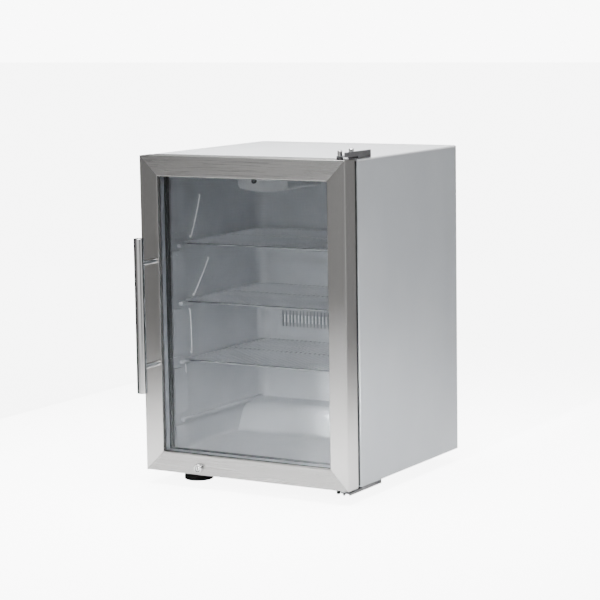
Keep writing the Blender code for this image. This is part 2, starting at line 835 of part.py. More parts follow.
    inlet = box_object(
        "power_inlet",
        (INLET_X - 0.0140, CAB_BACK - 0.020, INLET_Z - 0.0100),
        (INLET_X + 0.0140, CAB_BACK - CLEAR, INLET_Z + 0.0100),
        BLACK_PLASTIC,
    )
    socket = box_cutter(
        "inlet_socket",
        (INLET_X - 0.0115, CAB_BACK - 0.016, INLET_Z - 0.0075),
        (INLET_X + 0.0115, CAB_BACK + 0.01, INLET_Z + 0.0075),
    )
    boolean(inlet, socket)
    pins = bmesh.new()
    for dx, dz in ((-0.007, -0.002), (0.0, 0.002), (0.007, -0.002)):
        px = INLET_X + dx
        pz = INLET_Z + dz
        add_box(
            pins,
            (px - 0.001, CAB_BACK - 0.017, pz - 0.002),
            (px + 0.001, CAB_BACK - 0.005, pz + 0.002),
        )
    boolean(inlet, place("inlet_pins", pins), "UNION")


# Hinges


HINGES = {
    "upper": {
        "reach": 0.1095,        # bracket's rear end behind the door's face
        "flange_start": 0.0045,
        "flange": (0.0055, 0.0155),
        "plate": (0.0060, 0.0078),
        "head": (0.0050, 0.0190),
        "bush": BLACK_PLASTIC,
    },
    "lower": {
        "reach": 0.140,
        "flange_start": 0.006,
        "flange": (0.0034, 0.0085),
        "plate": (0.0040, 0.0058),
        "head": (0.0026, 0.0112),
        "bush": WHITE_PLASTIC,
    },
}


def build_hinge(end, face, up):
    """Bracket, pin, screw and door bush at the face z, with up = 1 at the top and -1 below."""
    sizes = HINGES[end]
    plate_low, plate_high = sizes["plate"]
    inner = HINGE_X - HINGE_NOSE
    rear = DOOR_FRONT + sizes["reach"]

    def level(height):
        return face + up * height

    def z_range(a, b):
        return sorted((level(a), level(b)))

    outline = arc(HINGE_X, HINGE_Y, HINGE_NOSE, 180, 270, 6)
    outline += [(HALF, HINGE_Y - HINGE_NOSE), (HALF, rear), (inner, rear)]
    low, high = z_range(plate_low, plate_high)
    bm = bmesh.new()
    add_prism(bm, outline, low, high, "Z")
    bracket = place(f"hinge_bracket_{end}", bm, BRACKET)
    low, high = z_range(*sizes["flange"])
    flange = box_cutter(
        f"hinge_flange_{end}",
        (HALF - 0.003, DOOR_FRONT + sizes["flange_start"], low),
        (HALF, rear, high),
    )
    boolean(bracket, flange, "UNION")
    low, high = z_range(CLEAR, plate_high - 0.0003)
    pad = box_cutter(f"hinge_pad_{end}", (inner, CAB_FRONT + 0.004, low), (HALF, rear, high))
    boolean(bracket, pad, "UNION")
    holes = [(HINGE_X, HINGE_Y, 0.0043)]
    if up > 0:
        holes.append((SCREW_X, SCREW_Y, 0.0033))
    for x, y, radius in holes:
        hole = rod_object(
            "hinge_hole", (x, y, level(-0.03)), (x, y, level(0.03)), radius, None, 16
        )
        boolean(bracket, hole)

    head_radius, head = sizes["head"]
    shank = min(0.0040, head_radius)
    bm = bmesh.new()
    profile = [
        (0.0, -0.018),
        (shank, -0.018),
        (shank, plate_high + CLEAR),
        (head_radius, plate_high + CLEAR),
        (head_radius, head - 0.0008),
        (head_radius - 0.0008, head),
        (0.0, head),
    ]
    if head_radius == shank:
        del profile[2:4]
    add_turned(bm, profile, (HINGE_X, HINGE_Y, face), (0, 0, up), 24)
    place(f"hinge_pin_{end}", bm, CHROME, (HINGE_X, HINGE_Y, face), smooth=True)

    bm = bmesh.new()
    profile = [
        (0.0043, -0.016),
        (0.0058, -0.016),
        (0.0058, CLEAR),
        (0.0070, CLEAR),
        (0.0070, plate_low - CLEAR),
        (0.0043, plate_low - CLEAR),
    ]
    add_turned(bm, profile, (HINGE_X, HINGE_Y, face), (0, 0, up), 24, ring=True)
    place(f"hinge_bush_{end}", bm, sizes["bush"], (HINGE_X, HINGE_Y, face), smooth=True)

    if up < 0:
        return
    head_seat = plate_high + CLEAR
    crown = 0.0205
    bm = bmesh.new()
    profile = [
        (0.0, -0.014),
        (0.0030, -0.014),
        (0.0030, head_seat),
        (0.0055, head_seat),
        (0.0055, crown - 0.0015),
        (0.0040, crown),
        (0.0, crown),
    ]
    add_turned(bm, profile, (SCREW_X, SCREW_Y, face), (0, 0, up), 20)
    place("hinge_screw", bm, CHROME, smooth=True)


# Door


def rail_section():
    """Section of the door frame: distance in from the door's edge, depth behind its face."""
    rim = arc(0.0025, 0.0025, 0.0025, 180, 270, 3)
    lip = arc(RAIL - 0.0012, 0.0024, 0.0012, 270, 360, 3)
    return (
        [(0.0, DOOR_DEPTH)]
        + rim
        + lip
        + [
            (RAIL, 0.0062),
            (REBATE, 0.0062),
            (REBATE, 0.0297),
            (0.0095, 0.0297),
            (0.0095, DOOR_DEPTH),
        ]
    )


RAIL_HOLLOW = [
    (0.0020, 0.0275),
    (0.0020, 0.0040),
    (0.0040, 0.0028),
    (0.0300, 0.0042),
    (0.0300, 0.0275),
]


def mitred_bar(name, section, side, look, overrun=0.0):
    """A bar along one side of the door whose ends are cut at 45 degrees."""
    bm = bmesh.new()
    rings = []
    for end in (0, 1):
        ring = []
        for inset, depth in section:
            trim = inset + 0.0002 - overrun
            x_near = -HALF + inset
            x_far = HALF - inset
            z_near = BASE + inset
            z_far = TOP - inset
            along_x = (-HALF + trim, HALF - trim)[end]
            along_z = (BASE + trim, TOP - trim)[end]
            x, z = {
                "bottom": (along_x, z_near),
                "top": (along_x, z_far),
                "left": (x_near, along_z),
                "right": (x_far, along_z),
            }[side]
            ring.append(bm.verts.new((x, DOOR_FRONT + depth, z)))
        rings.append(ring)
    for ring in rings:
        bm.faces.new(ring)
    count = len(section)
    for i in range(count):
        j = (i + 1) % count
        bm.faces.new((rings[0][i], rings[0][j], rings[1][j], rings[1][i]))
    return place(name, bm, look)


def build_door_frame():
    names = {
        "bottom": "door_rail_bottom",
        "top": "door_rail_top",
        "left": "door_stile_left",
        "right": "door_stile_right",
    }
    bars = {}
    for side, name in names.items():
        bar = mitred_bar(name, rail_section(), side, STEEL)
        boolean(bar, mitred_bar(name + "_hollow", RAIL_HOLLOW, side, None, overrun=0.003))
        bars[side] = bar
    for side, face, up in (("top", TOP, 1), ("bottom", BASE, -1)):
        start = (HINGE_X, HINGE_Y, face + up * 0.01)
        end = (HINGE_X, HINGE_Y, face - up * 0.020)
        for bar in (bars[side], bars["right"]):
            boolean(bar, rod_object("pin_hole", start, end, 0.0061, None, 16))
    lock = rod_object(
        "lock_hole",
        (LOCK_X, DOOR_FRONT - 0.01, LOCK_Z),
        (LOCK_X, DOOR_BACK + 0.01, LOCK_Z),
        0.0083,
        None,
        20,
    )
    boolean(bars["bottom"], lock)
    return lock


def build_glazing(lock_hole):
    edge = REBATE + 0.001
    ring_object(
        "glazing_bead",
        door_ring(0.0362),
        door_ring(0.0447),
        DOOR_FRONT + 0.0065,
        GLASS_FRONT - CLEAR,
        BLACK_RUBBER,
    )
    outer = door_ring(edge)
    spacer_front = GLASS_FRONT + PANE + CLEAR
    inner_front = spacer_front + 0.0110 + CLEAR
    for name, front in (("outer_pane", GLASS_FRONT), ("inner_pane", inner_front)):
        box_object(name, (outer[0], front, outer[2]), (outer[1], front + PANE, outer[3]), GLASS)
    ring_object(
        "glazing_spacer",
        door_ring(edge + 0.002),
        door_ring(0.0455),
        spacer_front,
        spacer_front + 0.0110,
        ZINC,
    )
    inner_frame = ring_object(
        "door_inner_frame",
        door_ring(0.0098),
        door_ring(0.0465),
        DOOR_FRONT + 0.0300,
        DOOR_BACK,
        BLACK_PLASTIC,
    )
    boolean(inner_frame, lock_hole)
    ring_object(
        "magnetic_gasket",
        door_ring(0.0235),
        door_ring(0.0340),
        DOOR_BACK + CLEAR,
        CAB_FRONT - CLEAR,
        BLACK_RUBBER,
    )


def build_handle():
    rod_object(
        "handle_bar",
        (HANDLE_X, HANDLE_Y, HANDLE_LOW),
        (HANDLE_X, HANDLE_Y, HANDLE_HIGH),
        HANDLE_RADIUS,
        CHROME,
        28,
        0.0012,
    )
    heights = {"lower": BASE + 0.2344, "upper": BASE + 0.4550}
    for which, z in heights.items():
        standoff = rod_object(
            f"handle_standoff_{which}",
            (HANDLE_X, HANDLE_Y, z),
            (HANDLE_X, DOOR_FRONT + 0.0004, z),
            0.006,
            CHROME,
            20,
        )
        cope = rod_object(
            "bar_cope",
            (HANDLE_X, HANDLE_Y, z - 0.02),
            (HANDLE_X, HANDLE_Y, z + 0.02),
            HANDLE_RADIUS + CLEAR,
            None,
            28,
        )
        boolean(standoff, cope)


def build_lock():
    """Barrel in the bottom rail, the plug and cam that turn in it, and the keeper on the cabinet."""
    at = (LOCK_X, DOOR_FRONT, LOCK_Z)
    bm = bmesh.new()
    profile = [
        (0.0059, -0.0078),
        (0.0080, -0.0085),
        (0.0092, -0.0080),
        (0.0100, -0.0060),
        (0.0102, -CLEAR),
        (0.0080, -CLEAR),
        (0.0080, DOOR_DEPTH + 0.0005),
        (0.0059, DOOR_DEPTH + 0.0005),
    ]
    add_turned(bm, profile, at, (0, 1, 0), 24, ring=True)
    place("lock_barrel", bm, CHROME, smooth=True)

    bm = bmesh.new()
    profile = [
        (0.0, -0.0074),
        (0.0055, -0.0074),
        (0.0055, 0.0412),
        (0.0030, 0.0412),
        (0.0030, 0.0492),
        (0.0, 0.0492),
    ]
    add_turned(bm, profile, at, (0, 1, 0), 24)
    plug = place("lock_plug", bm, CHROME, at, smooth=True)
    keyway = box_cutter(
        "keyway",
        (LOCK_X - 0.0009, DOOR_FRONT - 0.01, LOCK_Z - 0.0035),
        (LOCK_X + 0.0009, DOOR_FRONT + 0.012, LOCK_Z + 0.0035),
    )
    boolean(plug, keyway)

    cam_front = DOOR_FRONT + 0.0466
    bm = bmesh.new()
    outline = arc(0, 0, 0.0055, 90, 270, 8) + arc(0.0085, 0, 0.0055, 270, 450, 8)
    points = [(LOCK_X + a, LOCK_Z + b) for a, b in outline]
    add_prism(bm, points, cam_front, cam_front + 0.002, "Y")
    cam = place("lock_cam", bm, ZINC, at)
    eye = rod_object(
        "cam_eye", (LOCK_X, cam_front - 0.01, LOCK_Z), (LOCK_X, cam_front + 0.01, LOCK_Z), 0.0033, None, 16
    )
    boolean(cam, eye)

    bar_front = DOOR_FRONT + 0.0432
    keeper = box_object(
        "lock_keeper",
        (LOCK_X - 0.014, bar_front, BASE + 0.0005),
        (LOCK_X + 0.008, bar_front + 0.0022, BASE + 0.0060),
        ZINC,
    )
    arm = box_cutter(
        "keeper_arm",
        (LOCK_X - 0.014, bar_front, BASE + 0.0005),
        (LOCK_X - 0.010, CAB_FRONT - CLEAR, BASE + 0.0060),
    )
    boolean(keeper, arm, "UNION")


clear_scene()
build_side_panel("side_panel_left", -1)
build_side_panel("side_panel_right", 1)
build_top_panel()
build_base_pan()
build_foam()
build_liner()
build_breaker_frame()
build_back()
build_feet()
build_shelves()
build_lamp()
build_evaporator()
build_machine_bay()
build_hinge("upper", TOP, 1)
build_hinge("lower", BASE, -1)
build_glazing(build_door_frame())
build_handle()
build_lock()
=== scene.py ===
import math

import bmesh
import bpy
from mathutils import Matrix, Vector


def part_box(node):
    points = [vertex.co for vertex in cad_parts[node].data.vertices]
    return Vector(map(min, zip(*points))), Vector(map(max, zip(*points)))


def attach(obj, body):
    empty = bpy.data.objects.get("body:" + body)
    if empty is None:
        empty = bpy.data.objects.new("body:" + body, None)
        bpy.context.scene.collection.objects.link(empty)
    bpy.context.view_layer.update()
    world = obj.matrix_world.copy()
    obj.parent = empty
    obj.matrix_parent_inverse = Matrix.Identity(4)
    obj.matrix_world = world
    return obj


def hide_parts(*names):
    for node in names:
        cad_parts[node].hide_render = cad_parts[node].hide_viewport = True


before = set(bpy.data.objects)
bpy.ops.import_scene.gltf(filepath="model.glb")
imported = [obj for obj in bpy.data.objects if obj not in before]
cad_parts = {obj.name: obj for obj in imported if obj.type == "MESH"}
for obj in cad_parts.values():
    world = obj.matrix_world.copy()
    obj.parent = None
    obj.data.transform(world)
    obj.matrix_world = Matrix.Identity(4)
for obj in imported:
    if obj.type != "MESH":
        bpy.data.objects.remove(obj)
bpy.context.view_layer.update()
print("frame loaded:", len(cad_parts), "nodes")

# The main planes, all read off the frame
doorLow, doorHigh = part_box("door_rail_bottom")[0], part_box("door_rail_top")[1]
doorLeft, doorRight = doorLow.x, doorHigh.x
doorFace = doorLow.y
base, top = doorLow.z, doorHigh.z
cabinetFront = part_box("side_panel_left")[0].y
linerLow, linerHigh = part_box("inner_liner")


# Materials

def makeMaterial(look):
    material = bpy.data.materials.new(look["name"])
    material.use_nodes = True
    tree = material.node_tree
    shader = tree.nodes["Principled BSDF"]
    for socket, value in look.get("set", {}).items():
        shader.inputs[socket].default_value = value
    coord = tree.nodes.new("ShaderNodeTexCoord")

    def noise(scale, detail):
        stretch = tree.nodes.new("ShaderNodeMapping")
        stretch.inputs["Scale"].default_value = scale
        pattern = tree.nodes.new("ShaderNodeTexNoise")
        pattern.inputs["Scale"].default_value = 1.0
        pattern.inputs["Detail"].default_value = detail
        tree.links.new(coord.outputs["Object"], stretch.inputs["Vector"])
        tree.links.new(stretch.outputs["Vector"], pattern.inputs["Vector"])
        return pattern.outputs["Fac"]

    def spread(value, low, high):
        remap = tree.nodes.new("ShaderNodeMapRange")
        remap.inputs["From Min"].default_value = 0.3
        remap.inputs["From Max"].default_value = 0.7
        remap.inputs["To Min"].default_value = low
        remap.inputs["To Max"].default_value = high
        tree.links.new(value, remap.inputs["Value"])
        return remap.outputs["Result"]

    grain = noise(look["grain"], look.get("detail", 3.0))
    patches = noise(look["patches"], 4.0)
    mix = tree.nodes.new("ShaderNodeMix")
    mix.data_type = "RGBA"
    mix.inputs["A"].default_value = (*look["colour"], 1.0)
    mix.inputs["B"].default_value = (*look["worn"], 1.0)
    weave = tree.nodes.new("ShaderNodeMath")   # grain and slow patches together drive the colour
    weave.operation = "MULTIPLY_ADD"
    tree.links.new(grain, weave.inputs[0])
    weave.inputs[1].default_value = look.get("grainInColour", 0.5)
    tree.links.new(patches, weave.inputs[2])
    shift = spread(weave.outputs[0], 0.0, 1.0)
    tree.links.new(shift, mix.inputs["Factor"])
    tree.links.new(mix.outputs["Result"], shader.inputs["Base Color"])
    tree.links.new(spread(grain, *look["rough"]), shader.inputs["Roughness"])
    if "bump" in look:
        bump = tree.nodes.new("ShaderNodeBump")
        bump.inputs["Strength"].default_value = look["bump"]
        bump.inputs["Distance"].default_value = look["relief"]
        tree.links.new(grain, bump.inputs["Height"])
        tree.links.new(bump.outputs["Normal"], shader.inputs["Normal"])
    if "acrossGrain" in look:
        # fine scratches spread a reflection sideways to their run
        tangent = tree.nodes.new("ShaderNodeTangent")
        tangent.direction_type = "RADIAL"
        tangent.axis = look["acrossGrain"]
        tree.links.new(tangent.outputs[0], shader.inputs["Tangent"])
    if look.get("glass"):
        # a thin pane: light goes straight through, and its faces mirror more at a low angle
        clear = tree.nodes.new("ShaderNodeBsdfTransparent")
        clear.inputs["Color"].default_value = (*look["glass"], 1.0)
        facing = tree.nodes.new("ShaderNodeFresnel")
        facing.inputs["IOR"].default_value = look["mirror"]
        either = tree.nodes.new("ShaderNodeMixShader")
        out = tree.nodes["Material Output"]
        tree.links.new(facing.outputs[0], either.inputs[0])
        tree.links.new(clear.outputs[0], either.inputs[1])
        tree.links.new(shader.outputs[0], either.inputs[2])
        tree.links.new(either.outputs[0], out.inputs["Surface"])
    return material


brushedUp = makeMaterial({
    "name": "steelBrushedUpright", "colour": (0.61, 0.60, 0.59), "worn": (0.575, 0.565, 0.555),
    "rough": (0.17, 0.24), "grain": (1100, 1100, 7), "patches": (26, 26, 3), "acrossGrain": "Z",
    "bump": 0.05, "relief": 0.00035, "set": {"Metallic": 1.0, "Anisotropic": 0.9},
})
brushedAcross = makeMaterial({
    "name": "steelBrushedAcross", "colour": (0.61, 0.60, 0.59), "worn": (0.575, 0.565, 0.555),
    "rough": (0.25, 0.33), "grain": (7, 1100, 1100), "patches": (3, 26, 26), "acrossGrain": "X",
    "bump": 0.05, "relief": 0.00035, "set": {"Metallic": 1.0, "Anisotropic": 0.9},
})
chrome = makeMaterial({
    "name": "polishedSteel", "colour": (0.78, 0.78, 0.77), "worn": (0.70, 0.70, 0.70),
    "rough": (0.07, 0.15), "grain": (900, 900, 14), "patches": (40, 40, 40),
    "bump": 0.08, "relief": 0.0002, "set": {"Metallic": 1.0},
})
wireChrome = makeMaterial({
    "name": "platedWire", "colour": (0.92, 0.92, 0.92), "worn": (0.80, 0.80, 0.81),
    "rough": (0.09, 0.18), "grain": (500, 500, 500), "patches": (50, 50, 50),
    "bump": 0.10, "relief": 0.0002, "set": {"Metallic": 1.0},
})
sideCoat = makeMaterial({
    "name": "sideCoating", "colour": (0.47, 0.49, 0.51), "worn": (0.43, 0.45, 0.475),
    "rough": (0.34, 0.46), "grain": (700, 700, 700), "patches": (9, 9, 5),
    "grainInColour": 0.25, "bump": 0.05, "relief": 0.0002, "set": {"Metallic": 0.15},
})
topCoat = makeMaterial({
    "name": "topCoating", "colour": (0.66, 0.67, 0.68), "worn": (0.61, 0.62, 0.64),
    "rough": (0.34, 0.46), "grain": (700, 700, 700), "patches": (8, 8, 8),
    "grainInColour": 0.25, "bump": 0.05, "relief": 0.0002, "set": {"Metallic": 0.15},
})
zinc = makeMaterial({
    "name": "galvanisedSheet", "colour": (0.56, 0.58, 0.60), "worn": (0.40, 0.42, 0.44),
    "rough": (0.32, 0.55), "grain": (160, 160, 160), "patches": (60, 60, 60),
    "bump": 0.10, "relief": 0.0003, "set": {"Metallic": 0.9},
})
hingeSteel = makeMaterial({
    "name": "darkPlatedSteel", "colour": (0.15, 0.15, 0.16), "worn": (0.24, 0.24, 0.25),
    "rough": (0.30, 0.50), "grain": (600, 600, 600), "patches": (70, 70, 70),
    "bump": 0.12, "relief": 0.0003, "set": {"Metallic": 0.8},
})
copper = makeMaterial({
    "name": "drawnCopper", "colour": (0.72, 0.42, 0.27), "worn": (0.46, 0.26, 0.17),
    "rough": (0.24, 0.45), "grain": (400, 400, 400), "patches": (70, 70, 70),
    "bump": 0.08, "relief": 0.0002, "set": {"Metallic": 1.0},
})
rubber = makeMaterial({
    "name": "blackRubber", "colour": (0.022, 0.022, 0.023), "worn": (0.045, 0.045, 0.046),
    "rough": (0.55, 0.80), "grain": (900, 900, 900), "patches": (50, 50, 50),
    "bump": 0.25, "relief": 0.0003,
})
darkPlastic = makeMaterial({
    "name": "mouldedBlack", "colour": (0.030, 0.030, 0.032), "worn": (0.055, 0.055, 0.057),
    "rough": (0.38, 0.60), "grain": (1200, 1200, 1200), "patches": (60, 60, 60),
    "bump": 0.22, "relief": 0.0003,
})
darkPaint = makeMaterial({
    "name": "bakedBlackPaint", "colour": (0.028, 0.029, 0.030), "worn": (0.060, 0.060, 0.062),
    "rough": (0.25, 0.42), "grain": (500, 500, 500), "patches": (45, 45, 45),
    "bump": 0.12, "relief": 0.0003, "set": {"Coat Weight": 0.2},
})
linerPlastic = makeMaterial({
    "name": "linerPlastic", "colour": (0.66, 0.67, 0.69), "worn": (0.60, 0.615, 0.635),
    "rough": (0.26, 0.40), "grain": (260, 260, 260), "patches": (14, 14, 14),
    "grainInColour": 0.2, "bump": 0.05, "relief": 0.0003,
})
palePlastic = makeMaterial({
    "name": "paleMoulding", "colour": (0.72, 0.73, 0.73), "worn": (0.64, 0.65, 0.66),
    "rough": (0.28, 0.44), "grain": (700, 700, 700), "patches": (30, 30, 30),
    "grainInColour": 0.2, "bump": 0.10, "relief": 0.0003, "set": {"Coat Weight": 0.15},
})
# dark grey strip: partly the plastic's own tone, partly painted shade for the gap round the door
trimGreyWithShade = makeMaterial({
    "name": "greyTrimPaintedShade", "colour": (0.085, 0.087, 0.090), "worn": (0.065, 0.067, 0.070),
    "rough": (0.40, 0.55), "grain": (700, 700, 700), "patches": (30, 30, 30),
    "grainInColour": 0.2, "bump": 0.10, "relief": 0.0003,
})
spacerMetal = makeMaterial({
    "name": "spacerAluminium", "colour": (0.66, 0.68, 0.72), "worn": (0.54, 0.56, 0.60),
    "rough": (0.30, 0.45), "grain": (300, 300, 300), "patches": (40, 40, 40),
    "grainInColour": 0.3, "bump": 0.10, "relief": 0.0002, "set": {"Metallic": 0.6},
})
# pale wire with a faint glow, though it is no lamp: a painted highlight for the bright wall streaks and vent
# bars
glowingHighlightWire = makeMaterial({
    "name": "glowingHighlightWire", "colour": (0.94, 0.94, 0.94), "worn": (0.86, 0.86, 0.86),
    "rough": (0.48, 0.60), "grain": (500, 500, 500), "patches": (50, 50, 50), "bump": 0.10, "relief": 0.0002,
    "set": {"Metallic": 0.2, "Emission Color": (1.0, 1.0, 1.0, 1.0), "Emission Strength": 0.34},
})
footRubber = makeMaterial({
    "name": "footRubber", "colour": (0.010, 0.010, 0.010), "worn": (0.018, 0.018, 0.018),
    "rough": (0.60, 0.80), "grain": (900, 900, 900), "patches": (50, 50, 50),
    "bump": 0.2, "relief": 0.0003, "set": {"Specular IOR Level": 0.15},
})
foam = makeMaterial({
    "name": "blownFoam", "colour": (0.78, 0.69, 0.44), "worn": (0.66, 0.55, 0.32),
    "rough": (0.80, 0.98), "grain": (420, 420, 420), "patches": (40, 40, 40),
    "bump": 0.6, "relief": 0.0010,
})
glass = makeMaterial({
    "name": "doorGlass", "colour": (0.93, 0.94, 0.95), "worn": (0.86, 0.88, 0.90),
    "rough": (0.015, 0.05), "grain": (40, 40, 40), "patches": (9, 9, 9),
    "glass": (0.975, 0.980, 0.985), "mirror": 1.28, "set": {"Metallic": 1.0},
})


# Mesh helpers

def arcPoints(a, b, radius, start, end, steps):
    turns = [math.radians(start + (end - start) * i / steps) for i in range(steps + 1)]
    return [(a + radius * math.cos(turn), b + radius * math.sin(turn)) for turn in turns]


def roundedRing(low, high, radius, steps=6):
    # outline of a rectangle with round corners
    (a0, b0), (a1, b1) = low, high
    corners = [(a1, b1, 0), (a0, b1, 90), (a0, b0, 180), (a1, b0, 270)]
    ring = []
    for a, b, start in corners:
        inA = radius if a == a0 else -radius
        inB = radius if b == b0 else -radius
        ring += arcPoints(a + inA, b + inB, radius, start, start + 90, steps)
    return ring


def addBox(bm, low, high):
    low, high = Vector(low), Vector(high)
    verts = bmesh.ops.create_cube(bm, size=1.0)["verts"]
    bmesh.ops.scale(bm, vec=high - low, verts=verts)
    bmesh.ops.translate(bm, vec=(low + high) / 2, verts=verts)


def addPrism(bm, outline, low, high, axis):
    # pushes an outline along an axis; its points are in the other two axes
    order = {"X": (2, 0, 1), "Y": (0, 2, 1), "Z": (0, 1, 2)}[axis]

    def corner(a, b, along):
        return [(a, b, along)[i] for i in order]

    joinEnds(bm, [[bm.verts.new(corner(a, b, end)) for a, b in outline] for end in (low, high)])


def addTurned(bm, profile, centre, axis, sides=48, closed=False):
    # spins a profile of radius and height about an axis
    centre, axis = Vector(centre), Vector(axis)
    side = axis.orthogonal().normalized()
    verts = [bm.verts.new(centre + side * radius + axis * height) for radius, height in profile]
    edges = [bm.edges.new(pair) for pair in zip(verts, verts[1:])]
    if closed:
        edges.append(bm.edges.new((verts[-1], verts[0])))
    bmesh.ops.spin(
        bm, geom=verts + edges, cent=centre, axis=axis, angle=math.tau, steps=sides, use_merge=True
    )
    bmesh.ops.remove_doubles(bm, verts=bm.verts, dist=1e-6)


def addRectangleSweep(bm, section, outer):
    # sweeps a closed section of inset and depth round a rectangle, mitred at its corners
    x0, x1, z0, z1 = outer
    rings = []
    for inset, depth in section:
        corners = [(x0 + inset, z0 + inset), (x1 - inset, z0 + inset),
                   (x1 - inset, z1 - inset), (x0 + inset, z1 - inset)]
        rings.append([bm.verts.new((x, depth, z)) for x, z in corners])
    for near, far in zip(rings, rings[1:] + rings[:1]):
        for i in range(4):
            j = (i + 1) % 4
            bm.faces.new((near[i], near[j], far[j], far[i]))


def addTube(bm, path, radius, sides=10, closed=False):
    # a round wire along a path, its ends capped
    points = [Vector(point) for point in path]
    count = len(points)
    rings = []
    side = None
    for i, point in enumerate(points):
        before = points[i - 1] if closed or i else point
        after = points[(i + 1) % count] if closed or i < count - 1 else point
        along = (after - before).normalized()
        side = along.orthogonal() if side is None else side - along * side.dot(along)
        side.normalize()
        across = along.cross(side)
        turns = [math.tau * k / sides for k in range(sides)]
        rings.append([
            bm.verts.new(point + (side * math.cos(turn) + across * math.sin(turn)) * radius)
            for turn in turns
        ])
    pairs = list(zip(rings, rings[1:])) + ([(rings[-1], rings[0])] if closed else [])
    for near, far in pairs:
        for k in range(sides):
            j = (k + 1) % sides
            bm.faces.new((near[k], near[j], far[j], far[k]))
    if not closed:
        bm.faces.new(rings[0])
        bm.faces.new(rings[-1])


def bend(corners, radius, steps=6, closed=False):
    # rounds off each turn of a path
    points = [Vector(point) for point in corners]
    count = len(points)
    path = []
    for i, point in enumerate(points):
        if not closed and i in (0, count - 1):
            path.append(point)
            continue
        before = (points[i - 1] - point).normalized() * radius
        after = (points[(i + 1) % count] - point).normalized() * radius
        for k in range(steps + 1):
            t = k / steps
            path.append(point + before * (1 - t) ** 2 + after * t ** 2)
    return path


def makeObject(name, bm):
    bmesh.ops.recalc_face_normals(bm, faces=bm.faces)
    mesh = bpy.data.meshes.new(name)
    bm.to_mesh(mesh)
    bm.free()
    thing = bpy.data.objects.new(name, mesh)
    bpy.context.scene.collection.objects.link(thing)
    return thing


def settle(thing):
    # swaps the mesh for the one that the modifiers make
    graph = bpy.context.evaluated_depsgraph_get()
    mesh = bpy.data.meshes.new_from_object(thing.evaluated_get(graph), depsgraph=graph)
    thing.modifiers.clear()
    thing.data = mesh


def cut(thing, bm, operation="DIFFERENCE"):
    other = makeObject("cutter", bm)
    modifier = thing.modifiers.new("Cut", "BOOLEAN")
    modifier.operation = operation
    modifier.object = other
    settle(thing)
    bpy.data.objects.remove(other, do_unlink=True)


def soften(thing, width, segments=3, angle=30):
    modifier = thing.modifiers.new("Soften", "BEVEL")
    modifier.width = width
    modifier.segments = segments
    modifier.limit_method = "ANGLE"
    modifier.angle_limit = math.radians(angle)
    modifier.use_clamp_overlap = True
    settle(thing)


def pour(thing, bm):
    # moves an object's mesh into a bmesh
    bm.from_mesh(thing.data)
    bpy.data.objects.remove(thing, do_unlink=True)


def finishPiece(thing, material, body, slot, *nodes):
    thing.data.shade_smooth()
    thing.data.set_sharp_from_angle(angle=math.radians(38))
    modifier = thing.modifiers.new("Even", "WEIGHTED_NORMAL")
    modifier.keep_sharp = True
    settle(thing)
    thing.data.materials.clear()
    thing.data.materials.append(material)
    if nodes:
        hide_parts(*nodes)
    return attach(thing, body)


def centreOf(node):
    low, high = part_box(node)
    return (low + high) / 2


def drill(thing, radius, start, end, centre, axis, sides):
    # cuts a round hole from start to end along an axis
    hole = bmesh.new()
    addTurned(hole, [(0.0, start), (radius, start), (radius, end), (0.0, end)], centre, axis, sides)
    cut(thing, hole)


def joinEnds(bm, rings):
    # closes two end rings and the walls between them
    for ring in rings:
        bm.faces.new(ring)
    count = len(rings[0])
    for i in range(count):
        j = (i + 1) % count
        bm.faces.new((rings[0][i], rings[0][j], rings[1][j], rings[1][i]))


# Door frame

frameBar = {
    "rim": 0.0012, "lip": 0.0012, "width": 0.043, "rebate": 0.0325, "mitreGap": 0.0002,
    "paneSeat": 0.0062, "wallBack": 0.0297, "legInside": 0.0095, "legBack": 0.041,
    "pinHole": 0.0061, "pinDepth": 0.018, "lockHole": 0.0083,
}


def barSection(bar):
    # distance in from the door's edge, depth behind its face
    rim = arcPoints(bar["rim"], bar["rim"], bar["rim"], 180, 270, 6)
    lip = arcPoints(bar["width"] - bar["lip"], 2 * bar["lip"], bar["lip"], 270, 360, 8)
    return (
        [(0.0, bar["legBack"])] + rim + lip
        + [(bar["width"], bar["paneSeat"]), (bar["rebate"], bar["paneSeat"]),
           (bar["rebate"], bar["wallBack"]), (bar["legInside"], bar["wallBack"]),
           (bar["legInside"], bar["legBack"])]
    )


def makeBar(name, side, material, node):
    bm = bmesh.new()
    rings = []
    for end in (0, 1):
        ring = []
        for inset, depth in barSection(frameBar):
            trim = inset + frameBar["mitreGap"]
            alongX = (doorLeft + trim, doorRight - trim)[end]
            alongZ = (base + trim, top - trim)[end]
            x, z = {
                "bottom": (alongX, base + inset),
                "top": (alongX, top - inset),
                "left": (doorLeft + inset, alongZ),
                "right": (doorRight - inset, alongZ),
            }[side]
            ring.append(bm.verts.new((x, doorFace + depth, z)))
        rings.append(ring)
    joinEnds(bm, rings)
    bar = makeObject(name, bm)
    for end, z, sides in (("upper", top, ("top", "right")), ("lower", base, ("bottom", "right"))):
        if side in sides:
            at = centreOf("hinge_pin_" + end)
            deep = frameBar["pinDepth"]
            drill(bar, frameBar["pinHole"], -deep, deep, (at.x, at.y, z), (0, 0, 1), 24)
    if side == "bottom":
        at = centreOf("lock_plug")
        drill(bar, frameBar["lockHole"], -0.01, 0.06, (at.x, doorFace, at.z), (0, 1, 0), 32)
    return finishPiece(bar, material, "door", "brushed_frame", node)


makeBar("topRail", "top", brushedAcross, "door_rail_top")
makeBar("bottomRail", "bottom", brushedAcross, "door_rail_bottom")
makeBar("leftStile", "left", brushedUp, "door_stile_left")
makeBar("rightStile", "right", brushedUp, "door_stile_right")
print("door frame done")


# Glazing

doorEdge = (doorLeft, doorRight, base, top)

for name, node in (("frontPane", "outer_pane"), ("rearPane", "inner_pane")):
    low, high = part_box(node)
    bm = bmesh.new()
    addBox(bm, low, high)
    pane = makeObject(name, bm)
    soften(pane, 0.0005, 2)
    finishPiece(pane, glass, "door", "door_glass", node)

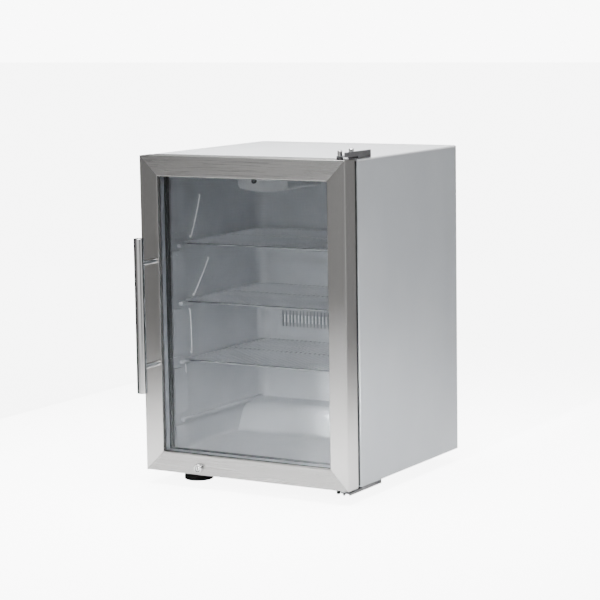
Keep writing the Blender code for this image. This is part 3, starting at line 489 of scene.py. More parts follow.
bead = {"outside": 0.0362, "inside": 0.0447, "front": 0.0064, "back": 0.0087, "lip": 0.0011}
bm = bmesh.new()
lip, front, back = bead["lip"], doorFace + bead["front"], doorFace + bead["back"]
section = [(bead["outside"], back), (bead["outside"], front)]
section += arcPoints(bead["inside"] - lip, front + lip, lip, 270, 360, 6)
section += [(bead["inside"], back)]
addRectangleSweep(bm, section, doorEdge)
finishPiece(makeObject("glazingBead", bm), rubber, "door", "black_rubber", "glazing_bead")

spacerBar = {"outside": 0.0355, "inside": 0.0455, "groove": 0.0008, "grooveHalf": 0.0012, "turn": 0.0010}
low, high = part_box("glazing_spacer")
bm = bmesh.new()
outer, inner, turn = spacerBar["outside"], spacerBar["inside"], spacerBar["turn"]
middle, half = (low.y + high.y) / 2, spacerBar["grooveHalf"]
section = [
    (outer, low.y), (inner - turn, low.y), (inner, low.y + turn), (inner, middle - half),
    (inner - spacerBar["groove"], middle), (inner, middle + half), (inner, high.y - turn),
    (inner - turn, high.y), (outer, high.y),
]
addRectangleSweep(bm, section, doorEdge)
finishPiece(makeObject("paneSpacer", bm), spacerMetal, "door", "galvanised", "glazing_spacer")

doorBacking = {
    "outside": 0.0098, "inside": 0.0465, "turn": 0.0025,
    "channel": (0.0214, 0.0360), "channelDeep": 0.0025, "channelSlope": 0.0008, "lockHole": 0.0083,
}
low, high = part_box("door_inner_frame")
bm = bmesh.new()
outer, inner, turn = doorBacking["outside"], doorBacking["inside"], doorBacking["turn"]
near, far = doorBacking["channel"]
slope, channelFloor = doorBacking["channelSlope"], high.y - doorBacking["channelDeep"]
section = [(outer, low.y), (inner, low.y)]
section += arcPoints(inner - turn, high.y - turn, turn, 0, 90, 6)
section += [(far, high.y), (far - slope, channelFloor), (near + slope, channelFloor), (near, high.y)]
section += [(outer, high.y)]
addRectangleSweep(bm, section, doorEdge)
backing = makeObject("doorBacking", bm)
at = centreOf("lock_plug")
drill(backing, doorBacking["lockHole"], 0.02, 0.06, (at.x, doorFace, at.z), (0, 1, 0), 32)
finishPiece(backing, darkPlastic, "door", "black_plastic", "door_inner_frame")

doorGasket = {"outside": 0.0235, "inside": 0.0340, "folds": 3, "foldDepth": 0.0017}
low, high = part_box("magnetic_gasket")
bm = bmesh.new()
steps = doorGasket["folds"] * 8
outside, inside = [], []
for i in range(steps + 1):
    share = i / steps
    wave = doorGasket["foldDepth"] * math.sin(math.pi * doorGasket["folds"] * share) ** 2
    wave = wave if share < 0.99 else 0.0
    depth = low.y + (high.y - low.y) * share
    outside.append((doorGasket["outside"] + wave, depth))
    inside.append((doorGasket["inside"] - wave, depth))
addRectangleSweep(bm, outside + inside[::-1], doorEdge)
finishPiece(makeObject("doorGasket", bm), rubber, "door", "black_rubber", "magnetic_gasket")
print("glazing done")


# Handle

handle = {
    "radius": 0.011, "edge": 0.0011, "saddle": 0.0112, "saddleHalf": 0.02,
    "postRadius": 0.006, "postFoot": 0.0061, "postTaper": (0.0015, 0.0030), "postInto": 0.004,
    "clearance": 0.0004,
}
low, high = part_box("handle_bar")
at = centreOf("handle_bar")
bm = bmesh.new()
edge = handle["edge"]
rim = handle["radius"] - edge
profile = [(0.0, low.z)] + arcPoints(rim, low.z + edge, edge, 270, 360, 5)
profile += arcPoints(rim, high.z - edge, edge, 0, 90, 5) + [(0.0, high.z)]
addTurned(bm, profile, (at.x, at.y, 0), (0, 0, 1), 72)
finishPiece(makeObject("handleBar", bm), chrome, "door", "polished", "handle_bar")

for name, node in (("lowerPost", "handle_standoff_lower"), ("upperPost", "handle_standoff_upper")):
    post = centreOf(node)
    seat = doorFace + handle["clearance"]
    start, radius, wide = at.y + handle["postInto"], handle["postRadius"], handle["postFoot"]
    short, long = handle["postTaper"]
    bm = bmesh.new()
    profile = [(0.0, start), (radius, start), (radius, seat - long)]
    profile += [(wide, seat - short), (wide, seat), (0.0, seat)]
    addTurned(bm, profile, (at.x, 0, post.z), (0, 1, 0), 40)
    standoff = makeObject(name, bm)
    half = handle["saddleHalf"]
    drill(standoff, handle["saddle"], -half, half, (at.x, at.y, post.z), (0, 0, 1), 72)
    finishPiece(standoff, chrome, "door", "polished", node)
print("handle done")


# Lock

lock = {
    "bezel": [(0.0064, -0.0081), (0.0080, -0.0085), (0.0090, -0.0082), (0.0095, -0.0076),
              (0.0098, -0.0062), (0.0101, -0.0020), (0.0102, -0.0003)],
    "bore": 0.0059, "boreFront": -0.0076, "body": 0.0080, "bodyFront": -0.0003,
    "plug": 0.0055, "plugEdge": [(0.0046, 0.0), (0.0052, 0.0002)], "plugTurn": 0.0006,
    "tail": 0.0030, "tailStart": 0.0412,
    "keyway": (0.0018, 0.0070), "keywayCorner": 0.0006, "keywayReach": (-0.010, 0.012),
}
at = centreOf("lock_plug")
low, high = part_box("lock_barrel")
bm = bmesh.new()
end = high.y - doorFace
profile = [(lock["bore"], lock["boreFront"])] + lock["bezel"]
profile += [(lock["body"], lock["bodyFront"]), (lock["body"], end), (lock["bore"], end)]
addTurned(bm, profile, (at.x, doorFace, at.z), (0, 1, 0), 56, closed=True)
finishPiece(makeObject("lockBarrel", bm), chrome, "door", "polished", "lock_barrel")

low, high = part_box("lock_plug")
bm = bmesh.new()
front, end = low.y - doorFace, high.y - doorFace
radius, tail, tailStart = lock["plug"], lock["tail"], lock["tailStart"]
profile = [(0.0, front)] + [(edge, front + back) for edge, back in lock["plugEdge"]]
profile += [(radius, front + lock["plugTurn"]), (radius, tailStart), (tail, tailStart), (tail, end), (0.0, end)]
addTurned(bm, profile, (at.x, doorFace, at.z), (0, 1, 0), 48)
plug = makeObject("lockPlug", bm)
slot = bmesh.new()
wide, tall = lock["keyway"]
keyLow, keyHigh = (at.x - wide / 2, at.z - tall / 2), (at.x + wide / 2, at.z + tall / 2)
outline = roundedRing(keyLow, keyHigh, lock["keywayCorner"], 3)
near, far = lock["keywayReach"]
addPrism(slot, outline, doorFace + near, doorFace + far, "Y")
cut(plug, slot)
finishPiece(plug, chrome, "lock", "polished", "lock_plug")
print("lock done")


# Hinges

hinge = {
    "nose": 0.0074, "corner": 0.003, "flangeThick": 0.003, "webStart": 0.004, "gap": 0.0003,
    "pinHole": 0.0043, "screwHole": 0.0033, "reach": 0.03, "edge": 0.0004,
    "pin": 0.0040, "pinDeep": 0.018, "pinChamfer": 0.0004,
    "pinCap": [(0.0, 0.0012), (0.0003, 0.0005), (0.0010, 0.0)],
    "bushBore": 0.0043, "bushSleeve": 0.0058, "bushDeep": 0.016, "bushRim": 0.0070,
    "bushEdge": (0.0004, 0.0005),
}
hingeEnds = {
    "upper": {
        "face": top, "up": 1, "low": 0.0060, "high": 0.0078, "flangeStart": 0.0045, "flange": (0.0055, 0.0155),
        # the upper bush is dark plastic to paint the shade in the gap under the flange
        "steel": hingeSteel, "pin": chrome, "bush": (darkPlastic, "black_plastic"),
    },
    "lower": {
        "face": base, "up": -1, "low": 0.0040, "high": 0.0058, "flangeStart": 0.006, "flange": (0.0034, 0.0085),
        "steel": darkPaint, "pin": darkPlastic, "bush": (palePlastic, "white_plastic"),
    },
}
for end, plate in hingeEnds.items():
    face, up, gap, nose, corner = plate["face"], plate["up"], hinge["gap"], hinge["nose"], hinge["corner"]
    pin = centreOf("hinge_pin_" + end)
    low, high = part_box("hinge_bracket_" + end)
    inner = pin.x - nose
    bm = bmesh.new()
    outline = arcPoints(pin.x, pin.y, nose, 180, 270, 12)
    outline += [(high.x, pin.y - nose), (high.x, high.y - corner)]
    outline += arcPoints(high.x - corner, high.y - corner, corner, 0, 90, 6)
    outline += arcPoints(inner + corner, high.y - corner, corner, 90, 180, 6)
    addPrism(bm, outline, *sorted((face + up * plate["low"], face + up * plate["high"])), "Z")
    bracket = makeObject(end + "HingeBracket", bm)
    flangeLow, flangeHigh = sorted(face + up * height for height in plate["flange"])
    webLow, webHigh = sorted((face + up * gap, face + up * (plate["high"] - gap)))
    blocks = [
        (high.x - hinge["flangeThick"], doorFace + plate["flangeStart"], flangeLow, flangeHigh),
        (inner, cabinetFront + hinge["webStart"], webLow, webHigh),
    ]
    for x, y, z0, z1 in blocks:   # the side flange, then the web under the plate
        extra = bmesh.new()
        addBox(extra, (x, y, z0), (high.x, high.y, z1))
        cut(bracket, extra, "UNION")
    reach = hinge["reach"]
    drill(bracket, hinge["pinHole"], -reach, reach, (pin.x, pin.y, face), (0, 0, 1), 24)
    if end == "upper":
        screw = centreOf("hinge_screw")
        drill(bracket, hinge["screwHole"], -reach, reach, (screw.x, screw.y, face), (0, 0, 1), 24)
    soften(bracket, hinge["edge"], 2)
    finishPiece(bracket, plate["steel"], "cabinet", "hinge_steel", "hinge_bracket_" + end)

    low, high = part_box("hinge_pin_" + end)
    head = (high.z - face) if up > 0 else (face - low.z)
    seat = plate["high"] + gap
    radius = (high.x - low.x) / 2
    shank, deep, chamfer = hinge["pin"], hinge["pinDeep"], hinge["pinChamfer"]
    bm = bmesh.new()
    profile = [(0.0, -deep), (shank - chamfer, -deep), (shank, chamfer - deep)]
    if radius > shank + 0.0001:   # a cap wider than the pin
        profile += [(shank, seat), (radius, seat)]
    profile += [(radius - inset, head - drop) for inset, drop in hinge["pinCap"]] + [(0.0, head)]
    addTurned(bm, profile, (pin.x, pin.y, face), (0, 0, up), 40)
    finishPiece(makeObject(end + "HingePin", bm), plate["pin"], "cabinet", "polished", "hinge_pin_" + end)

    bore, sleeve, rim, deep = hinge["bushBore"], hinge["bushSleeve"], hinge["bushRim"], hinge["bushDeep"]
    inset, rise = hinge["bushEdge"]
    bushTop = plate["low"] - gap
    bm = bmesh.new()
    profile = [(bore, -deep), (sleeve, -deep), (sleeve, gap), (rim - inset, gap), (rim, gap + rise)]
    profile += [(rim, bushTop - rise), (rim - inset, bushTop), (bore, bushTop)]
    addTurned(bm, profile, (pin.x, pin.y, face), (0, 0, up), 40, closed=True)
    look, slot = plate["bush"]
    finishPiece(makeObject(end + "HingeBush", bm), look, "door", slot, "hinge_bush_" + end)

low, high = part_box("hinge_screw")
at = centreOf("hinge_screw")
crossScrew = {
    "head": 0.0055, "shank": 0.0030, "seat": 0.0081, "slot": (0.0016, 0.0070, 0.0016),
    "dome": [(0.0055, 0.0024), (0.0051, 0.0014), (0.0042, 0.0006), (0.0028, 0.0001), (0.0, 0.0)],
}
seat, shank = top + crossScrew["seat"], crossScrew["shank"]
bm = bmesh.new()
profile = [(0.0, low.z), (shank, low.z), (shank, seat), (crossScrew["head"], seat)]
profile += [(radius, high.z - drop) for radius, drop in crossScrew["dome"]]
addTurned(bm, profile, (at.x, at.y, 0), (0, 0, 1), 36)
screw = makeObject("hingeScrew", bm)
wide, long, deep = crossScrew["slot"]
for across, along in ((wide, long), (long, wide)):
    groove = bmesh.new()
    addBox(groove, (at.x - across / 2, at.y - along / 2, high.z - deep),
           (at.x + across / 2, at.y + along / 2, high.z + 0.002))
    cut(screw, groove)
finishPiece(screw, chrome, "cabinet", "polished", "hinge_screw")

doorStop = {"radius": 0.0040, "tall": 0.0092, "left": 0.0135, "start": 0.0002, "round": (0.0010, 0.0015)}
at = centreOf("hinge_pin_lower")
bm = bmesh.new()
radius, tall, start = doorStop["radius"], doorStop["tall"], doorStop["start"]
near, far = doorStop["round"]
profile = [(0.0, start), (radius * 0.8, start), (radius, start + near)]
profile += [(radius, tall - far), (radius * 0.7, tall), (0.0, tall)]
addTurned(bm, profile, (at.x - doorStop["left"], at.y, base), (0, 0, -1), 32)
finishPiece(makeObject("doorStop", bm), footRubber, "door", "black_rubber")
print("hinges done")


# Cabinet skin

skin = {
    "sheet": 0.001, "fold": 0.0025, "bendRadius": 0.0016, "topRoll": 0.0040, "skirt": 0.001,
    "sideTop": 0.00105, "screwHole": 0.0033, "foldGap": 0.0003,
}


def makeSide(name, node, side):
    low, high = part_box(node)
    edge = high.x if side > 0 else -low.x
    sheet, radius, fold = skin["sheet"], skin["bendRadius"], skin["fold"]
    outer = arcPoints(edge - radius, low.y + radius, radius, 270, 360, 5)
    inner = arcPoints(edge - radius, low.y + radius, radius - sheet, 360, 270, 5)
    outline = [(edge - fold, low.y)] + outer + [(edge, high.y), (edge - sheet, high.y)]
    outline += inner + [(edge - fold, low.y + sheet)]
    bm = bmesh.new()
    addPrism(bm, [(side * x, y) for x, y in outline], low.z, top - skin["topRoll"] - skin["sideTop"], "Z")
    return finishPiece(makeObject(name, bm), sideCoat, "cabinet", "side_skin", node)


makeSide("leftSide", "side_panel_left", -1)
makeSide("rightSide", "side_panel_right", 1)

low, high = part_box("top_panel")
roll, sheet, fold = skin["topRoll"], skin["sheet"], skin["fold"]
skirt = top - roll - skin["skirt"]
outside = [(low.x, skirt)] + arcPoints(low.x + roll, top - roll, roll, 180, 90, 8)
outside += arcPoints(high.x - roll, top - roll, roll, 90, 0, 8) + [(high.x, skirt)]
under = [(high.x - sheet, skirt)] + arcPoints(high.x - roll, top - roll, roll - sheet, 0, 90, 8)
under += arcPoints(low.x + roll, top - roll, roll - sheet, 90, 180, 8) + [(low.x + sheet, skirt)]
bm = bmesh.new()
addPrism(bm, outside + under, low.y, high.y, "Y")
lid = makeObject("topSheet", bm)
extra = bmesh.new()
addPrism(extra, outside, low.y, low.y + sheet, "Y")   # the front lip
cut(lid, extra, "UNION")
gap = skin["foldGap"]
extra = bmesh.new()
addBox(extra, (low.x + fold + gap, low.y, low.z), (high.x - fold - gap, low.y + sheet, top - sheet / 2))
cut(lid, extra, "UNION")
at = centreOf("hinge_screw")
drill(lid, skin["screwHole"], -0.02, 0.02, (at.x, at.y, top), (0, 0, 1), 24)
finishPiece(lid, topCoat, "cabinet", "top_skin", "top_panel")
print("skin done")


# Back

backSheet = {
    "border": 0.018, "split": 0.006, "swageWide": 0.006, "swageDeep": 0.0009, "corners": (0.016, 0.010),
    "proud": 0.0004, "screw": 0.0034, "screwColumns": (-0.225, 0.0, 0.225), "screwIn": 0.008,
}
low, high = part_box("back_panel")
bm = bmesh.new()
addBox(bm, low, (high.x, high.y - backSheet["proud"], high.z))
rear = makeObject("backSheet", bm)
border, split, wide = backSheet["border"], backSheet["split"], backSheet["swageWide"]
outerCorner, innerCorner = backSheet["corners"]
middle = (low.z + high.z) / 2
for z0, z1 in ((low.z + border, middle - split), (middle + split, high.z - border)):
    swage = bmesh.new()
    x0, x1 = low.x + border, high.x - border
    outline = roundedRing((x0, z0), (x1, z1), outerCorner, 8)
    inner = roundedRing((x0 + wide, z0 + wide), (x1 - wide, z1 - wide), innerCorner, 8)
    addPrism(swage, outline, high.y - backSheet["swageDeep"], high.y + 0.001, "Y")
    groove = makeObject("swage", swage)
    core = bmesh.new()
    addPrism(core, inner, high.y - 0.002, high.y + 0.002, "Y")
    cut(groove, core)
    bm = bmesh.new()
    pour(groove, bm)
    cut(rear, bm)
finishPiece(rear, zinc, "cabinet", "galvanised", "back_panel")
backLow, backHigh = low, high

low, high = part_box("machine_cover")
inletLow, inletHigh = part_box("power_inlet")
louvres = {
    "rows": 5, "pitch": 0.011, "first": 0.014, "long": 0.090, "tall": 0.004, "round": 0.0019,
    "starts": (-0.175, -0.065, 0.055), "inletGap": 0.0003, "screwIn": 0.006,
    "upperScrews": (-0.232, -0.075, 0.0), "lowerScrews": (-0.232, 0.0, 0.232),
}
bm = bmesh.new()
addBox(bm, low, (high.x, high.y - backSheet["proud"], high.z))
cover = makeObject("machineCover", bm)
slots = bmesh.new()
for row in range(louvres["rows"]):
    z = base + louvres["first"] + row * louvres["pitch"]
    for x in louvres["starts"]:
        outline = roundedRing((x, z), (x + louvres["long"], z + louvres["tall"]), louvres["round"], 4)
        addPrism(slots, outline, high.y - 0.01, high.y + 0.01, "Y")
gap = louvres["inletGap"]
outline = roundedRing((inletLow.x - gap, inletLow.z - gap), (inletHigh.x + gap, inletHigh.z + gap), 0.001, 3)
addPrism(slots, outline, high.y - 0.01, high.y + 0.01, "Y")
cut(cover, slots)
finishPiece(cover, zinc, "cabinet", "galvanised", "machine_cover")

spots = [(x, backHigh.z - backSheet["screwIn"]) for x in backSheet["screwColumns"]]
spots += [(x, backLow.z + backSheet["screwIn"]) for x in backSheet["screwColumns"]]
spots += [(x, high.z - louvres["screwIn"]) for x in louvres["upperScrews"]]
spots += [(x, low.z + louvres["screwIn"]) for x in louvres["lowerScrews"]]
radius = backSheet["screw"]
panHead = [(0.0, 0.001), (radius, 0.001), (radius, 0.0), (radius * 0.85, -0.0006), (0.0, -0.0009)]
bm = bmesh.new()
for x, z in spots:
    addTurned(bm, panHead, (x, high.y - 0.0010, z), (0, -1, 0), 20)
finishPiece(makeObject("backScrews", bm), chrome, "cabinet", "polished")
print("back done")


# Inner shell

shell = {
    "wall": 0.002, "corner": 0.025, "outerCorner": 0.027,
    "bevelShares": {"upright": 1.0, "deep": 0.30, "across": 0.45},
    "ledge": 0.009, "ledgeTall": 0.008, "ledgeGap": 0.0003, "lowLedge": 0.105, "notch": 0.017, "toe": 0.010,
    "pillarFront": 0.0015, "pillarDeep": 0.0070, "pillarBack": 0.097,
    "humpFoot": 0.305, "humpTop": 0.097,
    "humpCurve": [(0.018, 0.034), (0.026, 0.048), (0.036, 0.057), (0.050, 0.062)],
    "ductWall": 0.004, "ductIn": 0.006, "pipeHole": 0.0038,
}
wall = shell["wall"]
spaceX = linerHigh.x - wall
spaceFloor, spaceCeiling = linerLow.z + wall, linerHigh.z - wall
ductLow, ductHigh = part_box("evaporator_cover")
spaceBack = ductHigh.y + 0.0003
shelfWire = 0.0025
ledgeLevels = [base + shell["lowLedge"]] + [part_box(f"wire_shelf_{i}")[0].z + shelfWire for i in (1, 2, 3)]
humpFoot, humpTop, humpCurve = doorFace + shell["humpFoot"], base + shell["humpTop"], shell["humpCurve"]

bm = bmesh.new()
addBox(bm, (-spaceX, cabinetFront - 0.02, spaceFloor), (spaceX, spaceBack, spaceCeiling))
hollow = makeObject("shellSpace", bm)
weights = hollow.data.attributes.new("bevel_weight_edge", "FLOAT", "EDGE")
for edge in hollow.data.edges:
    a, b = (hollow.data.vertices[i].co for i in edge.vertices)
    if max(a.y, b.y) < 0:
        continue
    run = "upright" if abs(a.z - b.z) > 0.1 else ("deep" if abs(a.y - b.y) > 0.1 else "across")
    weights.data[edge.index].value = shell["bevelShares"][run]
modifier = hollow.modifiers.new("Round", "BEVEL")
modifier.width = shell["corner"]
modifier.segments = 8
modifier.limit_method = "WEIGHT"
settle(hollow)


def humpOutline(foot, turn):
    # side view of the raised rear floor, with a rounded foot and shoulder
    points = [(humpFoot - 0.012, 0, spaceFloor), (humpFoot, 0, spaceFloor)]
    points += [(humpFoot + y, 0, spaceFloor + z) for y, z in humpCurve] + [(spaceBack + 0.02, 0, humpTop)]
    start, under = points[0][0], spaceFloor - 0.02
    outline = [(spaceBack + 0.02, under), (start, under), (start, spaceFloor)]
    outline += [(point.x, point.z) for point in bend(points[:3], foot, 6)[1:-1]]
    outline += [(point.x, point.z) for point in bend(points[1:], turn, 4)[1:-1]]
    return outline + [(spaceBack + 0.02, humpTop)]


bm = bmesh.new()
addPrism(bm, humpOutline(0.0105, 0.0045), -spaceX - 0.01, spaceX + 0.01, "X")
cut(hollow, bm)

mouldings = bmesh.new()
low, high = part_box("wire_shelf_1")
for level in ledgeLevels:
    for side in (-1, 1):
        ledgeTop = level - shelfWire - shell["ledgeGap"]
        x0, x1 = sorted((side * (spaceX - shell["ledge"]), side * (spaceX + 0.02)))
        bm = bmesh.new()
        addBox(bm, (x0, low.y + 0.0005, ledgeTop - shell["ledgeTall"]), (x1, spaceBack - 0.012, ledgeTop))
        rib = makeObject("rib", bm)
        soften(rib, 0.0022, 3)
        pour(rib, mouldings)

# front pillars, notched where each shelf slides in
for side in (-1, 1):
    levels = [spaceFloor - 0.02] + ledgeLevels + [spaceCeiling + 0.03]
    for below, above in zip(levels, levels[1:]):
        low = below + (shell["toe"] if below in ledgeLevels else 0)
        high = above - (shell["notch"] if above in ledgeLevels else 0)
        front, back = cabinetFront - 0.03, doorFace + shell["pillarBack"]
        outline = [(front, low), (back - 0.004, low), (back, low + 0.006)]
        outline += [(back, high - 0.022), (back - 0.014, high), (front, high)]
        bm = bmesh.new()
        addPrism(bm, outline, *sorted((side * spaceX, side * (spaceX + 0.01))), "X")
        for vert in bm.verts:   # the face leans towards the door
            if abs(vert.co.x) < spaceX + 0.001:
                share = min(1.0, max(0.0, (vert.co.y - cabinetFront) / (back - cabinetFront)))
                lean = shell["pillarFront"] + (shell["pillarDeep"] - shell["pillarFront"]) * share
                vert.co.x = side * (spaceX - lean)
        pillar = makeObject("pillar", bm)
        soften(pillar, 0.0012, 2)
        pour(pillar, mouldings)
cut(hollow, mouldings)

cavity = linerHigh.y - wall
front, corner = cabinetFront + 0.0002, shell["outerCorner"]
x, y, bottom = spaceX + wall, spaceBack + wall, spaceFloor - wall
outline = [(x, front)] + arcPoints(x - corner, y - corner, corner, 0, 90, 8)
outline += arcPoints(-x + corner, y - corner, corner, 90, 180, 8) + [(-x, front)]
bm = bmesh.new()
addPrism(bm, outline, bottom, spaceCeiling + wall, "Z")
inside = makeObject("innerShell", bm)
bm = bmesh.new()
profile = [(humpFoot + wall, bottom - 0.02), (humpFoot + wall, bottom)]
profile += [(humpFoot + wall + along, bottom + up) for along, up in humpCurve]
profile += [(spaceBack + 0.03, humpTop - wall), (spaceBack + 0.03, bottom - 0.02)]
addPrism(bm, profile, -0.3, 0.3, "X")
cut(inside, bm)
rim = shell["ductWall"]
duct = bmesh.new()
addBox(duct, (ductLow.x + rim, spaceBack - 0.001, ductLow.z + rim),
       (ductHigh.x - rim, cavity + wall, ductHigh.z - rim))
cut(inside, duct, "UNION")
bm = bmesh.new()
pour(hollow, bm)
cut(inside, bm)
rim = shell["ductIn"]
duct = bmesh.new()
addBox(duct, (ductLow.x + rim, spaceBack - 0.0005, ductLow.z + rim),
       (ductHigh.x - rim, cavity, ductHigh.z - rim))
cut(inside, duct)
holes = bmesh.new()
radius = shell["pipeHole"]
for x in (centreOf("drain_tube").x, -0.010, -0.028):   # drain, suction pipe, liquid line
    addTurned(holes, [(0.0, -0.02), (radius, -0.02), (radius, 0.01), (0.0, 0.01)],
              (x, cavity - 0.008, ductLow.z + rim), (0, 0, 1), 16)
cut(inside, holes)
finishPiece(inside, linerPlastic, "cabinet", "liner_plastic", "inner_liner")

low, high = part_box("breaker_frame")
breaker = {"inset": 0.0023, "turn": 0.0010, "chamfer": 0.0004}
turn, chamfer = breaker["turn"], breaker["chamfer"]
reach = -spaceX - breaker["inset"] - low.x
section = [(0.0, high.y), (0.0, low.y + chamfer), (chamfer, low.y)]
section += arcPoints(reach - turn, low.y + turn, turn, 270, 360, 4) + [(reach, high.y)]
bm = bmesh.new()
addRectangleSweep(bm, section, (low.x, high.x, low.z, high.z))
# its dark grey partly paints the shade in the gap between door and cabinet
finishPiece(makeObject("breakerStrip", bm), trimGreyWithShade, "cabinet", "black_plastic", "breaker_frame")
print("inner shell done")


# Shelves

shelf = {
    "frameWire": 0.0025, "wire": 0.0012, "count": 31, "cornerBend": 0.022, "margin": 0.026,
    "brace": 0.0020, "braceAt": 0.045, "wireBend": 0.0018, "wireOut": 0.0004,
}
for number in (1, 2, 3):
    low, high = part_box(f"wire_shelf_{number}")
    radius = shelf["frameWire"]
    level = low.z + radius
    bm = bmesh.new()
    x0, x1, y0, y1 = low.x + radius, high.x - radius, low.y + radius, high.y - radius
    corners = [(x0, y0, level), (x1, y0, level), (x1, y1, level), (x0, y1, level)]
    addTube(bm, bend(corners, shelf["cornerBend"], 8, closed=True), radius, 12, closed=True)
    addTube(bm, [(x0, shelf["braceAt"], level), (x1, shelf["braceAt"], level)], shelf["brace"], 10)
    margin = shelf["margin"]
    step = (x1 - x0 - 2 * margin) / (shelf["count"] - 1)
    lift = level + radius + shelf["wire"] * 0.4
    front = y0 - shelf["wireOut"]
    for i in range(shelf["count"]):
        x = x0 + margin + i * step
        path = bend([(x, front, level), (x, front, lift), (x, y1, lift), (x, y1, level)], shelf["wireBend"], 3)
        addTube(bm, path, shelf["wire"], 8)
    finishPiece(makeObject(f"wireShelf{number}", bm), wireChrome, "cabinet", "polished", f"wire_shelf_{number}")
print("shelves done")


# Wire springs on the side walls, each with a round foot; their faint glow is a painted highlight

springs = {
    "wire": 0.0010, "stand": 0.0024, "bow": 0.004,
    "dome": [(0.0, -0.0008), (0.0026, -0.0008), (0.0026, 0.0012), (0.00182, 0.0026), (0.0, 0.0032)],
    # each one's foot and upper end: distance behind the door's face, height above the door's lower edge
    "runs": [((0.128, 0.494), (0.166, 0.581)), ((0.135, 0.366), (0.195, 0.440)),
             ((0.121, 0.241), (0.117, 0.336)), ((0.095, 0.158), (0.095, 0.227))],
}
bm = bmesh.new()
for side in (-1, 1):
    x = side * (spaceX - springs["stand"])
    for (y0, z0), (y1, z1) in springs["runs"]:
        start, end = Vector((x, doorFace + y0, base + z0)), Vector((x, doorFace + y1, base + z1))
        bow = Vector((x, (start.y + end.y) / 2 + springs["bow"], (start.z + end.z) / 2))
        path = [start * (1 - t) ** 2 + bow * 2 * t * (1 - t) + end * t ** 2 for t in (i / 8 for i in range(9))]
        path.append(Vector((side * (spaceX + 0.0006), path[-1].y, path[-1].z + 0.0012)))
        addTube(bm, path, springs["wire"], 8)
        addTurned(bm, springs["dome"], (side * spaceX, start.y, start.z), (-side, 0, 0), 20)
finishPiece(makeObject("wallSprings", bm), glowingHighlightWire, "cabinet", "polished")
print("springs done")


# Fan cover on the inner back wall

low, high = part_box("evaporator_cover")
vents = {"count": 34, "first": -0.150, "last": 0.150, "wide": 0.0036, "corner": 0.0016,
         "foot": 0.262, "head": 0.300}
bm = bmesh.new()
addBox(bm, low, high)
grille = makeObject("fanCover", bm)
soften(grille, 0.0012, 3)
slots = bmesh.new()
for i in range(vents["count"]):
    x = vents["first"] + (vents["last"] - vents["first"]) * i / (vents["count"] - 1)
    half = vents["wide"] / 2
    foot, head = base + vents["foot"], base + vents["head"]
    outline = roundedRing((x - half, foot), (x + half, head), vents["corner"], 4)
    addPrism(slots, outline, low.y - 0.01, high.y + 0.01, "Y")
cut(grille, slots)
finishPiece(grille, linerPlastic, "cabinet", "liner_plastic", "evaporator_cover")

# raised fins between the slots; their faint glow is a painted highlight for the bright vent bars
fins = {"wide": 0.0022, "low": 0.272, "high": 0.290, "stand": 0.0008}
bm = bmesh.new()
pitch = (vents["last"] - vents["first"]) / (vents["count"] - 1)
for i in range(vents["count"] - 1):
    x = vents["first"] + (i + 0.5) * pitch
    half = fins["wide"] / 2
    addBox(bm, (x - half, low.y - fins["stand"], base + fins["low"]),
           (x + half, low.y + 0.0002, base + fins["high"]))
bars = makeObject("ventFins", bm)
soften(bars, 0.0004, 2)
finishPiece(bars, glowingHighlightWire, "cabinet", "white_plastic")
print("fan cover done")


# Lamp and thermostat housing

low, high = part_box("lamp_housing")
lamp = {"corner": 0.012, "wall": 0.002, "belly": 0.004, "stemHole": 0.0033}


def lampOutline(inset):
    corner, floorLine = lamp["corner"], low.z + lamp["belly"]
    roof = high.z + (0.01 if inset else 0) - inset   # the hollow runs out through the top
    points = [(high.x - inset, roof), (low.x + inset, roof)]
    points += arcPoints(low.x + corner, floorLine + corner, corner - inset, 180, 262, 8)
    for i in range(1, 12):
        share = i / 12
        x = low.x + corner + (high.x - low.x - 2 * corner) * share
        points.append((x, floorLine - lamp["belly"] * math.sin(math.pi * share) ** 0.8 + inset))
    points += arcPoints(high.x - corner, floorLine + corner, corner - inset, 278, 360, 8)
    return points


bm = bmesh.new()
addPrism(bm, lampOutline(0.0), low.y, high.y, "Y")
housing = makeObject("lampHousing", bm)
soften(housing, 0.0016, 3, 50)
room = bmesh.new()
addPrism(room, lampOutline(lamp["wall"]), low.y + lamp["wall"], high.y - lamp["wall"], "Y")
cut(housing, room)
dial = centreOf("thermostat_knob")
drill(housing, lamp["stemHole"], -0.01, 0.01, (dial.x, low.y, dial.z), (0, 1, 0), 24)
finishPiece(housing, palePlastic, "cabinet", "white_plastic", "lamp_housing")

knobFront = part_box("thermostat_knob")[0].y
knob = {
    "radius": 0.0055, "ribs": 18, "ribDepth": 0.0003, "stem": 0.0026, "stemEnds": (-0.001, 0.0095),
    "groove": (0.0042, 0.0007, 0.0014),
}
bm = bmesh.new()
outline = []
for i in range(knob["ribs"] * 4):
    turn = math.tau * i / (knob["ribs"] * 4)
    radius = knob["radius"] - (knob["ribDepth"] if i % 4 in (0, 1) else 0)
    outline.append((dial.x + radius * math.cos(turn), dial.z + radius * math.sin(turn)))
addPrism(bm, outline, knobFront, low.y - 0.0003, "Y")
button = makeObject("thermostatKnob", bm)
radius, (near, far) = knob["stem"], knob["stemEnds"]
stem = bmesh.new()
profile = [(0.0, near), (radius, near), (radius, far), (0.0, far)]
addTurned(stem, profile, (dial.x, low.y, dial.z), (0, 1, 0), 24)
cut(button, stem, "UNION")
long, wide, deep = knob["groove"]
groove = bmesh.new()
addBox(groove, (dial.x - long, knobFront - 0.004, dial.z - wide),
       (dial.x + long, knobFront + deep, dial.z + wide))
cut(button, groove)
finishPiece(button, darkPlastic, "thermostat_dial", "black_plastic", "thermostat_knob")
print("lamp done")


# Feet

